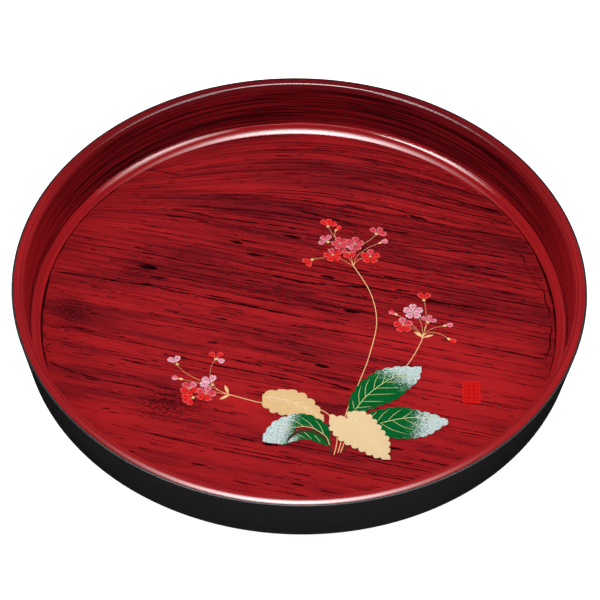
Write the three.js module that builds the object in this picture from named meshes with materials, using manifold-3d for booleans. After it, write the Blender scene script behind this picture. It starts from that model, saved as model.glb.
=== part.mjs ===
// Round lacquered serving tray with a painted primrose spray.
// A thin wooden core is closed in by lacquer coats: black outside, red inside.
// The painted motifs lie on the floor of the tray as thin raised layers.
// Millimetres, +Z up. The origin is under the middle of the tray, on the plane it stands on.
import * as THREE from "three";
import { mergeVertices } from "three/addons/utils/BufferGeometryUtils.js";
import Module from "manifold-3d";

const wasm = await Module();
wasm.setup();

// ---- Driving dimensions of the tray ----
const RIM_RADIUS = 150;
const HEIGHT = 36;
const FLOOR_TOP = 5.5;
const BASE_UNDERSIDE = 2.5;
const COAT = 0.8;
const GLUE_GAP = 0.05;
const FLOOR_RADIUS = 135.7;
const FLOOR_GROOVE = 0.2;
const COVE_RADIUS = 6;
const COVE_CHAMFER = 2.2;
const WALL_FOOT_RADIUS = 141.9;
const WALL_HEAD_RADIUS = 143.4;
const RIM_BAND_DEPTH = 3;
const RIM_BAND_INNER_RADIUS = 143.1;
const RIM_BAND_OUTER_RADIUS = 148.9;
const RIM_BEAD = 0.7;
const RIM_ROUNDING = 1.4;
const OUTER_TAPER = THREE.MathUtils.degToRad(10.8);
const BASE_ROUNDING = 5;
const BOARD_RADIUS = 139;
const FOOT_OUTER_RADIUS = 128.5;
const FOOT_INNER_RADIUS = 121.5;
const FOOT_FLARE = 1;
const TURNED_SEGMENTS = 64;

// ---- Driving dimensions of the painted layers ----
const LAYER = 0.25;
const STEM_WIDTH = 0.8;
const BRANCH_WIDTH = 0.5;
const LENS_END = 0.15;
const STEPS_PER_STEM_POINT = 4;
const BLOSSOM_EYE = 1.2;
const PETAL_NOTCH = 0.12;
const PETAL_SHARES = [-1, -0.88, -0.65, -0.25, 0, 0.25, 0.65, 0.88, 1];
const FULL_BLOSSOM = { petals: 5, halfAngle: 33, freeAngle: 72 };
const SIDE_BLOSSOM = { halfAngle: 27, freeAngle: 180 };
const BUD_POINTS = 12;
const BUD_FULLNESS = 0.25;
const LEAF_LOBE = 0.55;
const GOLD_LEAF_LOBE = 0.75;
const STEPS_PER_LOBE = 4;
const LEAF_STALK_WIDTH = 1;
const SEAL_WIDTH = 9.2;
const SEAL_LENGTH = 14.7;
const SEAL_CORNER = 0.8;

// ---- Materials ----
function paint(color, roughness, metalness = 0) {
  return new THREE.MeshStandardMaterial({ color, roughness, metalness });
}

const blackLacquer = paint(0x171517, 0.35);
const redLacquer = paint(0x8e1119, 0.2);
const brushedLacquer = paint(0x9c1a20, 0.22);
const wood = paint(0xb08a5c, 0.75);
const gold = paint(0xeacb9c, 0.45, 0.3);
const green = paint(0x0d6436, 0.45);
const darkGreen = paint(0x2c3a1e, 0.5);
const red = paint(0xea3038, 0.45);
const rose = paint(0xdc4e60, 0.45);
const pink = paint(0xe27f92, 0.45);
const palePink = paint(0xf0b6c8, 0.45);
const sealRed = paint(0xe1201a, 0.5);

const tray = new THREE.Group();

function add(name, geometry, material) {
  const mesh = new THREE.Mesh(geometry, material);
  mesh.name = name;
  tray.add(mesh);
  return mesh;
}

// ---- Turned pieces ----

// Revolves a closed outline of [radius, height] points about +Z.
function turned(outline) {
  const points = outline.map(([radius, height]) => new THREE.Vector2(radius, height));
  return new THREE.LatheGeometry(points, TURNED_SEGMENTS).rotateX(Math.PI / 2);
}

function ring(outline) {
  return turned([...outline, outline[0]]);
}

// Points on a circle from one angle to another, both in degrees, as [radius, height].
function arc(centreRadius, centreHeight, size, from, to, steps) {
  return Array.from({ length: steps + 1 }, (_, i) => {
    const angle = THREE.MathUtils.degToRad(from + ((to - from) * i) / steps);
    return [centreRadius + size * Math.cos(angle), centreHeight + size * Math.sin(angle)];
  });
}

const taperDegrees = THREE.MathUtils.radToDeg(OUTER_TAPER);
const roundingHeight = BASE_UNDERSIDE + BASE_ROUNDING;
const edgeHeight = HEIGHT - RIM_ROUNDING;
const roundingFoot = roundingHeight - BASE_ROUNDING * Math.sin(OUTER_TAPER);
const roundingRadius =
  RIM_RADIUS - (edgeHeight - roundingFoot) * Math.tan(OUTER_TAPER) - BASE_ROUNDING * Math.cos(OUTER_TAPER);
const shellInnerFoot = [roundingRadius + BASE_ROUNDING - COAT, roundingHeight];
const boardUnderside = BASE_UNDERSIDE + COAT;
const boardTop = FLOOR_TOP - COAT;
const bandUnderside = HEIGHT - RIM_BAND_DEPTH;
const coveTop = FLOOR_TOP + COVE_RADIUS;
const coveCentreRadius = WALL_FOOT_RADIUS - COVE_RADIUS;
const hoopInnerFoot = WALL_FOOT_RADIUS + COAT;
const hoopInnerHead = WALL_HEAD_RADIUS + COAT;

// Radius of the hoop's outer face at a height, on the straight line up to the rim band's outer edge.
function hoopOuterRadius(height) {
  const share = (height - shellInnerFoot[1]) / (HEIGHT - shellInnerFoot[1]);
  return shellInnerFoot[0] + (RIM_BAND_OUTER_RADIUS - shellInnerFoot[0]) * share;
}

function outerShell() {
  return turned([
    [0, BASE_UNDERSIDE],
    ...arc(roundingRadius, roundingHeight, BASE_ROUNDING, -90, -taperDegrees, 5),
    [RIM_RADIUS, edgeHeight],
    [RIM_RADIUS - 0.3, HEIGHT - 0.5],
    [RIM_BAND_OUTER_RADIUS, HEIGHT],
    [hoopOuterRadius(bandUnderside), bandUnderside],
    shellInnerFoot,
    [roundingRadius, boardUnderside],
    [0, boardUnderside],
  ]);
}

function bottomBoard() {
  return turned([
    [0, boardUnderside],
    [BOARD_RADIUS, boardUnderside],
    [BOARD_RADIUS, boardTop],
    [0, boardTop],
  ]);
}

function sideHoop() {
  return ring([
    [BOARD_RADIUS + GLUE_GAP, boardUnderside],
    [roundingRadius - GLUE_GAP, boardUnderside],
    [shellInnerFoot[0] - GLUE_GAP, shellInnerFoot[1]],
    [hoopOuterRadius(bandUnderside) - GLUE_GAP, bandUnderside],
    [hoopInnerHead + GLUE_GAP, bandUnderside],
    [hoopInnerFoot + GLUE_GAP, coveTop],
    [hoopInnerFoot + GLUE_GAP, boardTop + COVE_CHAMFER],
    [hoopInnerFoot - COVE_CHAMFER + GLUE_GAP, boardTop],
    [BOARD_RADIUS + GLUE_GAP, boardTop],
  ]);
}

function cornerCove() {
  return ring([
    [coveCentreRadius, boardTop],
    [hoopInnerFoot - COVE_CHAMFER, boardTop],
    [hoopInnerFoot, boardTop + COVE_CHAMFER],
    [hoopInnerFoot, coveTop],
    ...arc(coveCentreRadius, coveTop, COVE_RADIUS, 0, -90, 5),
  ]);
}

function wallLining() {
  return ring([
    [WALL_FOOT_RADIUS, coveTop],
    [hoopInnerFoot, coveTop],
    [hoopInnerHead, bandUnderside],
    [WALL_HEAD_RADIUS, bandUnderside],
  ]);
}

function rimBand() {
  return ring([
    [RIM_BAND_INNER_RADIUS, bandUnderside],
    [hoopOuterRadius(bandUnderside) - GLUE_GAP, bandUnderside],
    [RIM_BAND_OUTER_RADIUS - GLUE_GAP, HEIGHT],
    ...arc(RIM_BAND_INNER_RADIUS + RIM_BEAD, HEIGHT - RIM_BEAD, RIM_BEAD, 90, 180, 3),
  ]);
}

function floorPanel() {
  return turned([
    [0, boardTop],
    [FLOOR_RADIUS, boardTop],
    [FLOOR_RADIUS, FLOOR_TOP - FLOOR_GROOVE],
    [FLOOR_RADIUS - FLOOR_GROOVE, FLOOR_TOP],
    [0, FLOOR_TOP],
  ]);
}

function footRing() {
  return ring([
    [FOOT_INNER_RADIUS, 0],
    [FOOT_OUTER_RADIUS, 0],
    [FOOT_OUTER_RADIUS + FOOT_FLARE, BASE_UNDERSIDE],
    [FOOT_INNER_RADIUS - FOOT_FLARE, BASE_UNDERSIDE],
  ]);
}

add("outer_shell", outerShell(), blackLacquer);
add("foot_ring", footRing(), blackLacquer);
add("bottom_board", bottomBoard(), wood);
add("side_hoop", sideHoop(), wood);
add("rim_band", rimBand(), redLacquer);
add("wall_lining", wallLining(), redLacquer);
add("corner_cove", cornerCove(), redLacquer);
add("floor_panel", floorPanel(), brushedLacquer);

// ---- Painted layers ----

// Raises a flat outline into a layer. Layer 0 lies on the floor and each higher one on the layer below.
function raised(outline, layer) {
  const shape = new THREE.Shape(outline);
  const geometry = new THREE.ExtrudeGeometry(shape, { depth: LAYER, bevelEnabled: false });
  return geometry.translate(0, 0, FLOOR_TOP + layer * LAYER);
}

function toSolid(geometry) {
  const bare = new THREE.BufferGeometry();
  bare.setAttribute("position", geometry.getAttribute("position"));
  const merged = mergeVertices(bare, 1e-4);
  return new wasm.Manifold(
    new wasm.Mesh({
      numProp: 3,
      vertProperties: merged.getAttribute("position").array,
      triVerts: new Uint32Array(merged.getIndex().array),
    }),
  );
}

function fromSolid(solid) {
  const mesh = solid.getMesh();
  const geometry = new THREE.BufferGeometry();
  geometry.setAttribute("position", new THREE.BufferAttribute(mesh.vertProperties, 3));
  geometry.setIndex(new THREE.BufferAttribute(mesh.triVerts, 1));
  geometry.computeVertexNormals();
  return geometry;
}

// The places sampled along a smooth line through points, with the unit vector to the left of each.
function along(points, steps) {
  const line = new THREE.SplineCurve(points.map(([x, y]) => new THREE.Vector2(x, y)));
  return Array.from({ length: steps + 1 }, (_, i) => {
    const place = line.getPointAt(i / steps);
    const tangent = line.getTangentAt(i / steps);
    return { place, left: new THREE.Vector2(-tangent.y, tangent.x) };
  });
}

// Outline of a brushed line of a given width; bulge 1 makes it a pointed lens instead.
function ribbon(points, width, bulge = 0) {
  const steps = STEPS_PER_STEM_POINT * (points.length - 1);
  const places = along(points, steps);
  const lens = (i) => LENS_END + Math.sin((Math.PI * i) / steps);
  const half = (i) => (width / 2) * (1 - bulge + bulge * lens(i));
  const leftSide = places.map(({ place, left }, i) => place.clone().addScaledVector(left, half(i)));
  const rightSide = places.map(({ place, left }, i) => place.clone().addScaledVector(left, -half(i)));
  return [...leftSide, ...rightSide.reverse()];
}

// One stem with its branches, joined into one piece on layer 0.
// Its lenses are the small bracts and the cups that hold the buds: from, to, width.
function stem(main, branches, lenses) {
  const outlines = [
    ribbon(main, STEM_WIDTH),
    ...branches.map((points) => ribbon(points, BRANCH_WIDTH)),
    ...lenses.map(([from, to, width]) => ribbon([from, to], width, 1)),
  ];
  const solids = outlines.map((outline) => toSolid(raised(outline, 0)));
  return fromSolid(solids.reduce((whole, next) => whole.add(next)));
}

// A blossom seen from above or from the side: notched petals at rising angles about its eye.
// Petals that stand closer together than they are wide meet halfway.
function blossom(x, y, reach, petalAngles) {
  const full = petalAngles.length === FULL_BLOSSOM.petals;
  const { halfAngle, freeAngle } = full ? FULL_BLOSSOM : SIDE_BLOSSOM;
  const outline = [];
  petalAngles.forEach((petalAngle, i) => {
    const before = i > 0 ? petalAngle - petalAngles[i - 1] : freeAngle;
    const after = i + 1 < petalAngles.length ? petalAngles[i + 1] - petalAngle : freeAngle;
    for (const share of PETAL_SHARES) {
      const turn = share * Math.min(halfAngle, (share < 0 ? before : after) / 2);
      const fullness = Math.sqrt(1 - Math.abs(turn / halfAngle) ** 3);
      const notch = share === 0 ? PETAL_NOTCH * reach : 0;
      const distance = BLOSSOM_EYE + (reach - BLOSSOM_EYE) * fullness - notch;
      if (share > -1 || before / 2 >= halfAngle) {
        const angle = THREE.MathUtils.degToRad(petalAngle + turn);
        outline.push(new THREE.Vector2(x + distance * Math.cos(angle), y + distance * Math.sin(angle)));
      }
    }
  });
  if (!full) {
    outline.push(new THREE.Vector2(x, y));
  }
  return outline;
}

// A closed bud: an egg, narrower at its foot, that points along a direction in degrees.
function bud(x, y, length, width, direction) {
  const middle = new THREE.Vector2(x, y);
  const turn = THREE.MathUtils.degToRad(direction);
  return Array.from({ length: BUD_POINTS }, (_, i) => {
    const angle = (2 * Math.PI * i) / BUD_POINTS;
    const forward = (length / 2) * Math.cos(angle);
    const aside = (width / 2) * Math.sin(angle) * (1 + BUD_FULLNESS * Math.cos(angle));
    return new THREE.Vector2(x + forward, y + aside).rotateAround(middle, turn);
  });
}

// One edge of a leaf, with rounded lobes that swell to its left.
function lobedEdge(points, lobes, depth) {
  const steps = lobes * STEPS_PER_LOBE;
  return along(points, steps).map(({ place, left }, i) => {
    const swell = Math.abs(Math.sin((Math.PI * i) / STEPS_PER_LOBE)) - 0.5;
    return place.clone().addScaledVector(left, depth * swell);
  });
}

// A leaf between two edges: one from its foot to its tip, and one back from its tip to its foot.
function leaf(edgeToTip, edgeToFoot, lobesToTip, lobesToFoot, depth = LEAF_LOBE) {
  const there = lobedEdge(edgeToTip, lobesToTip, depth);
  const back = lobedEdge(edgeToFoot, lobesToFoot, depth);
  return [...there.slice(0, -1), ...back.slice(0, -1)];
}

// Leaves. Each edge is a smooth line through the points where the leaf changes its course.
const leaves = [
  {
    name: "green_leaf_upper",
    material: green,
    layer: 1,
    outline: leaf(
      [[29, -64.5], [27, -61], [28, -54], [33, -44.5], [42, -36], [53, -32.6], [64.7, -32.7]],
      [[64.7, -32.7], [63, -40.5], [58.3, -47.2], [51.5, -54.5], [43, -59.5], [36, -62.6], [29, -64.5]],
      11,
      11,
    ),
  },
  {
    name: "green_leaf_right",
    material: green,
    layer: 1,
    outline: leaf(
      [[40, -72], [38.2, -65.6], [45, -61.6], [54, -60], [63, -62.1], [72, -65], [78.4, -69.1]],
      [[78.4, -69.1], [73.2, -74], [66.5, -78.7], [56, -81], [47, -79.5], [40, -72]],
      10,
      10,
    ),
  },
  {
    name: "green_leaf_left",
    material: green,
    layer: 2,
    outline: leaf(
      [[-17.2, -84], [-15.3, -78.5], [-11.5, -72.6], [-5, -68.3], [3, -66.3], [11, -69.5], [16.5, -76],
        [17.6, -87]],
      [[17.6, -87], [14.4, -80.3], [9.5, -76.4], [4, -75.2], [0.6, -77], [-3, -82], [-7, -86],
        [-17.2, -84]],
      11,
      6,
    ),
  },
  {
    name: "green_leaf_left_fold",
    material: green,
    layer: 1,
    outline: leaf(
      [[-4.4, -85.2], [-0.5, -80.5], [2, -77.2], [8, -76.8], [13.6, -80.8], [17.4, -86.9]],
      [[17.4, -86.9], [12.4, -85.4], [6, -83.4], [0, -84.1], [-4.4, -85.2]],
      4,
      4,
      0,
    ),
  },
  {
    name: "gold_leaf_left",
    material: gold,
    layer: 1,
    outline: leaf(
      [[-17.3, -59.2], [-16.6, -54.2], [-8, -50.2], [1, -52], [8, -57.5], [12, -64], [14.3, -70.7]],
      [[14.3, -70.7], [4, -70.3], [-6, -67.2], [-13, -64.2], [-17.3, -59.2]],
      8,
      7,
      GOLD_LEAF_LOBE,
    ),
  },
  {
    name: "gold_leaf_right",
    material: gold,
    layer: 2,
    outline: leaf(
      [[25.3, -67], [28, -64.4], [33, -63.9], [38.6, -67.3], [44, -75], [48, -84.5], [47.2, -95.4]],
      [[47.2, -95.4], [40, -93.3], [31, -88.5], [23, -83], [17.8, -75.5], [18.2, -68.5], [25.3, -67]],
      11,
      12,
      GOLD_LEAF_LOBE,
    ),
  },
];

for (const { name, material, layer, outline } of leaves) {
  add(name, raised(outline.reverse(), layer), material);
}
function leafStalk(points) {
  return raised(ribbon(points, LEAF_STALK_WIDTH), 0);
}
add("leaf_stalk_left", leafStalk([[17.4, -86.9], [17.7, -89.3], [18.3, -91.3]]), darkGreen);
add("leaf_stalk_right", leafStalk([[27.1, -85.4], [25.8, -88], [24.7, -90]]), darkGreen);

// Stems. Each main line runs from the head of its spray, under the leaves, to the cut end.
add(
  "stem_top",
  stem(
    [[28.6, 38], [37.8, 19], [41.2, -2], [37.3, -25.6], [33.8, -38.4], [30.5, -49], [25.4, -65.6],
      [23.9, -80], [21.6, -91.6]],
    [
      [[28.6, 38], [22.3, 42.3], [17, 44], [12.3, 43.3], [6.4, 42]],
      [[28.6, 38], [27.2, 41.7], [25.6, 45]],
      [[28.6, 38], [27.6, 45], [29.6, 51], [34.7, 54.8], [38.1, 57.9], [41, 61.4]],
      [[28.6, 38], [30, 44.3], [33.3, 48.5], [37, 51.8], [43.3, 55.6]],
      [[28.6, 38], [30.4, 41.6], [35, 45]],
      [[27.8, 44], [24, 50], [20.5, 55.8], [17.6, 60], [14.6, 66.3]],
      [[18.8, 58.2], [18.3, 60.4], [19, 63.6]],
      [[23, 51.6], [18, 54.3], [14.6, 55.2]],
    ],
    [
      [[18.2, 62.6], [19.8, 64.8], 1.5],
      [[41.6, 54.6], [44.4, 56], 1.5],
    ],
  ),
  gold,
);
add(
  "stem_right",
  stem(
    [[65.5, -11], [64, -16.3], [57.2, -31.1], [42, -53], [31, -70], [26, -81], [22.9, -91.4]],
    [
      [[65.5, -11], [66.8, -4], [67.3, 5], [66.3, 14.8]],
      [[65.5, -11], [65.2, -5], [64, 0.5], [61.5, 5]],
      [[65.5, -11], [67, -5], [68.2, -1]],
      [[65.5, -11], [60.5, -3.5], [54.4, 2.1], [50.8, 4.5]],
      [[65.5, -11], [62.5, -7.6], [59.8, -5], [56, -3.8]],
      [[65.5, -11], [67.6, -7.5], [72, -4.6], [78.2, -2.8]],
      [[65.5, -11], [68, -8.4], [72, -8.2], [75.4, -9.4], [80, -12.9]],
    ],
    [
      [[65.5, -11.6], [60.8, -7.7], 1.7],
      [[65.5, -11.7], [71.4, -9.6], 1.5],
      [[52.6, 3.4], [49.8, 5], 1.8],
      [[75.6, -3.4], [78.8, -2.7], 1.7],
      [[78, -11.2], [80.6, -13.6], 1.7],
    ],
  ),
  gold,
);
add(
  "stem_left",
  stem(
    [[-34.9, -54.1], [-18, -59.2], [-5, -60.9], [8, -61.8], [14, -63.7], [18, -67.9], [20.9, -76],
      [21, -85], [19.6, -92.9]],
    [
      [[-34.9, -54.1], [-40, -51.8], [-43.8, -47.5]],
      [[-34.9, -54.1], [-41.6, -50.9], [-50, -45.4], [-58.5, -39.8], [-63.5, -34]],
      [[-34.9, -54.1], [-41.6, -53], [-46.8, -54.1], [-54.3, -57]],
      [[-44.5, -48.8], [-51.8, -46.6], [-61.8, -44]],
      [[-43.6, -47.6], [-45.4, -41], [-44.6, -34], [-42.7, -29.8]],
    ],
    [
      [[-35.4, -53.7], [-37.5, -47.6], 1.9],
      [[-34.7, -54.2], [-40, -57.5], 1.8],
      [[-58.8, -44.6], [-62.2, -43.9], 1.6],
    ],
  ),
  gold,
);

// Blossoms: eye, reach of the petals, and the direction of each petal in degrees.
const blossoms = [
  ["top_blossom_half_red", red, 1, 14.5, 66.4, 5.5, [25, 80, 130]],
  ["top_blossom_half_pink_left", pink, 1, 14.3, 55.2, 4.9, [75, 135, 198]],
  ["top_blossom_half_pink_right", pink, 1, 41, 61.4, 5.5, [6, 64, 124]],
  ["top_blossom_rose_left", rose, 2, 21.2, 53.6, 4.8, [-108, -36, 36, 108, 180]],
  ["top_blossom_rose_right", rose, 3, 29.2, 53.4, 5.2, [-132, -60, 12, 84, 156]],
  ["top_blossom_red_middle", red, 1, 26.1, 47.4, 4.2, [-120, -40, 30, 165]],
  ["top_blossom_red_left", red, 2, 17.5, 45, 5.1, [-112, -40, 32, 104, 180]],
  ["top_blossom_red_right", red, 1, 37.6, 44.8, 5.3, [-126, -54, 18, 90, 162]],
  ["top_blossom_opening_red", red, 1, 6, 41.4, 5.2, [190, 250]],
  ["right_blossom_half_red", red, 1, 66.2, 14.7, 5.5, [57, 119]],
  ["right_blossom_pale", palePink, 1, 60.4, 6.1, 5.4, [-124, -52, 20, 92, 164]],
  ["right_blossom_red", red, 2, 55.2, -3.9, 5.4, [-119, -47, 25, 97, 169]],
  ["right_blossom_half_pink", pink, 2, 68.3, -0.8, 4.6, [15, 75, 137]],
  ["left_blossom_half_red", red, 1, -42.7, -29.7, 5.1, [-30, 50, 130]],
  ["left_blossom_half_pale", palePink, 1, -63.6, -33.8, 5.3, [78, 138]],
  ["left_blossom_pale", palePink, 1, -44.8, -47, 5.8, [76, 138, 190]],
  ["left_blossom_red", red, 1, -55.8, -50.9, 5.1, [-88, -16, 56, 128, 200]],
  ["left_blossom_pink", pink, 2, -47.1, -54.3, 5.4, [-140, -68, 4, 76, 148]],
  ["left_blossom_half_red_low", red, 2, -54.5, -57.1, 5.4, [165, 214, 260]],
];
for (const [name, material, layer, x, y, reach, petalAngles] of blossoms) {
  add(name, raised(blossom(x, y, reach, petalAngles), layer), material);
}

// Buds: middle, length, width and the direction that each points in.
const buds = [
  ["top_bud_red", red, 20.5, 65.1, 4, 3, 65],
  ["top_bud_pink", pink, 45.2, 56.2, 3.8, 3.4, 12],
  ["right_bud_pink_left", pink, 49.2, 5.2, 3.6, 3.3, 160],
  ["right_bud_pink_right", pink, 79.7, -2.7, 3.6, 3.2, 0],
  ["right_bud_red", red, 81.4, -13.7, 3.8, 3.1, -35],
  ["left_bud_pink", pink, -63.4, -43.8, 3.5, 3.4, 170],
];
for (const [name, material, x, y, length, width, direction] of buds) {
  add(name, raised(bud(x, y, length, width, direction), 1), material);
}

// A small plain seal panel with rounded corners.
function sealOutline(x, y) {
  const alongX = SEAL_WIDTH / 2 - SEAL_CORNER;
  const alongY = SEAL_LENGTH / 2 - SEAL_CORNER;
  const corners = [
    [alongX, alongY, 0],
    [-alongX, alongY, 90],
    [-alongX, -alongY, 180],
    [alongX, -alongY, 270],
  ];
  return corners.flatMap(([dx, dy, start]) =>
    arc(x + dx, y + dy, SEAL_CORNER, start, start + 90, 3).map(([px, py]) => new THREE.Vector2(px, py)),
  );
}
add("seal_panel", raised(sealOutline(90.5, -48.4), 0), sealRed);

export default tray;
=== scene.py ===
"""Round lacquer tray with a painted primrose spray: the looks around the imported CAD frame."""

import math

import bpy
import numpy as np
from mathutils import Matrix, Vector
from mathutils.geometry import delaunay_2d_cdt


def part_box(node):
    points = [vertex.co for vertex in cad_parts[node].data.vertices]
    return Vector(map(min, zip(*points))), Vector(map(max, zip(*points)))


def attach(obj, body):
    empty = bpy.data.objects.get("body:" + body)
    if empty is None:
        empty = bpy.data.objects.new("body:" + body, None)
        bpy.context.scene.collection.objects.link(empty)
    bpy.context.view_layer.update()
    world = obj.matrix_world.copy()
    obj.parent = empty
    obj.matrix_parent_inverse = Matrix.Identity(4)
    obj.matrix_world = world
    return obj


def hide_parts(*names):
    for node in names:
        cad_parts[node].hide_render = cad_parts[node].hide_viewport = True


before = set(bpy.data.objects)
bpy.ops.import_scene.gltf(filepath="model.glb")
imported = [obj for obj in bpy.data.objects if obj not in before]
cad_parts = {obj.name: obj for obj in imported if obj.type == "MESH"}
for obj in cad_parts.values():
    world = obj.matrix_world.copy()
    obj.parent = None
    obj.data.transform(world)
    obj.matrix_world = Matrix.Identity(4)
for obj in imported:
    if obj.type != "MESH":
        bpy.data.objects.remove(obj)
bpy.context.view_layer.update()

MM = 0.001
RANDOM = np.random.default_rng(7)


# ---------------------------------------------------------------- sizes read from the frame

def top_of(node):
    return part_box(node)[1].z / MM


def bottom_of(node):
    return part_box(node)[0].z / MM


def reach_of(node):
    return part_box(node)[1].x / MM


RIM_RADIUS = reach_of("outer_shell")
RIM_TOP = top_of("rim_band")
FLOOR_TOP = top_of("floor_panel")
FLOOR_RADIUS = reach_of("floor_panel")
BASE_UNDERSIDE = bottom_of("outer_shell")
BAND_UNDERSIDE = bottom_of("rim_band")
COVE_TOP = top_of("corner_cove")
COVE_BOTTOM = bottom_of("corner_cove")
FOOT_OUTER = reach_of("foot_ring")

# ---------------------------------------------------------------- sizes of the finer shapes, in millimetres
SEGMENTS = 288
COAT = 0.8
COVE_CENTRE = 135.9
COVE_CHAMFER = 2.2
COVE_LEDGE = 0.01
COVE_DIP = 0.03
FLOOR_CHAMFER = 0.04
FOOT_ROUND = 0.6
WALL_FOOT = 141.9
WALL_HEAD = 143.4
OUTER_TAPER = math.radians(10.8)
BASE_ROUNDING = 5.0


# ---------------------------------------------------------------- mesh helpers

def new_object(name, verts, faces, smooth=True, sharp_angle=40):
    """A mesh object from points in millimetres."""
    mesh = bpy.data.meshes.new(name)
    mesh.from_pydata([tuple(c * MM for c in v) for v in verts], [], faces)
    mesh.validate()
    obj = bpy.data.objects.new(name, mesh)
    bpy.context.scene.collection.objects.link(obj)
    for polygon in mesh.polygons:
        polygon.use_smooth = smooth
    if smooth and sharp_angle is not None:
        mesh.set_sharp_from_angle(angle=math.radians(sharp_angle))
    return obj


def finish_piece(obj, material, slot, *nodes):
    """Gives a piece its material and hides the CAD nodes that it stands for; the slot is not used."""
    obj.data.materials.clear()
    obj.data.materials.append(material)
    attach(obj, "root")
    if nodes:
        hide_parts(*nodes)
    return obj


def polar(radius, angle):
    """A point at a distance and an angle in radians."""
    return radius * math.cos(angle), radius * math.sin(angle)


def heading_of(degrees):
    """The unit vector of a direction in degrees."""
    return np.array(polar(1, math.radians(degrees)))


def left_of(vectors):
    """Unit vectors a quarter turn to the left of the given ones."""
    size = np.maximum(np.linalg.norm(vectors, axis=-1, keepdims=True), 1e-9)
    return np.stack([-vectors[..., 1], vectors[..., 0]], -1) / size


def arc(centre_radius, centre_height, size, start, end, steps):
    """Points of a round stretch of an outline, with its angles in degrees."""
    points = []
    for i in range(steps + 1):
        across, up = polar(size, math.radians(start + (end - start) * i / steps))
        points.append((centre_radius + across, centre_height + up))
    return points


def turned(name, outline, closed, sharp_angle=40, segments=SEGMENTS):
    """A turned body from (radius, height) points. An open outline starts and ends on the axis."""
    verts = []
    rings = []
    for radius, height in outline:
        if radius < 1e-6:
            rings.append([len(verts)])
            verts.append((0, 0, height))
        else:
            first = len(verts)
            for k in range(segments):
                verts.append((*polar(radius, 2 * math.pi * k / segments), height))
            rings.append(list(range(first, first + segments)))
    faces = []
    pairs = list(zip(rings, rings[1:]))
    if closed:
        pairs.append((rings[-1], rings[0]))
    for low, high in pairs:
        for k in range(segments):
            nxt = (k + 1) % segments
            if len(low) == 1:
                faces.append((low[0], high[nxt], high[k]))
            elif len(high) == 1:
                faces.append((low[k], low[nxt], high[0]))
            else:
                faces.append((low[k], low[nxt], high[nxt], high[k]))
    obj = new_object(name, verts, faces, sharp_angle=sharp_angle)
    steps = [0.0]
    for (r0, h0), (r1, h1) in zip(outline, outline[1:]):
        steps.append(steps[-1] + math.hypot(r1 - r0, h1 - h0))
    lap = []
    for ring, at in zip(rings, steps):
        lap += [at] * len(ring)
    add_value(obj, "lap", lap)
    return obj


def add_value(obj, name, values):
    attribute = obj.data.attributes.new(name, "FLOAT", "POINT")
    attribute.data.foreach_set("value", np.asarray(values, np.float32))


def bearings(obj):
    """Each point's bearing round the tray, in radians."""
    return [math.atan2(vertex.co.y, vertex.co.x) for vertex in obj.data.vertices]


def add_far_side_shade(obj):
    """A value that runs from 0 at the near side of the tray to 1 at its far side, used to paint shade on the
    far half of the wall and lip.
    """
    add_value(obj, "tone", [0.5 + 0.5 * math.sin(angle) for angle in bearings(obj)])


def add_vector(obj, name, values):
    attribute = obj.data.attributes.new(name, "FLOAT_VECTOR", "POINT")
    attribute.data.foreach_set("vector", np.asarray(values, np.float32).ravel())


def add_colour(obj, name, values):
    attribute = obj.data.attributes.new(name, "FLOAT_COLOR", "POINT")
    attribute.data.foreach_set("color", np.asarray(values, np.float32).ravel())


def linear(red, green, blue):
    """A colour given as 0 to 255 screen values, made linear."""
    out = []
    for c in (red, green, blue):
        c = c / 255
        out.append(c / 12.92 if c <= 0.04045 else ((c + 0.055) / 1.055) ** 2.4)
    return (*out, 1.0)


# ---------------------------------------------------------------- material helpers

BUMP_DEPTH = 0.0001


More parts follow.
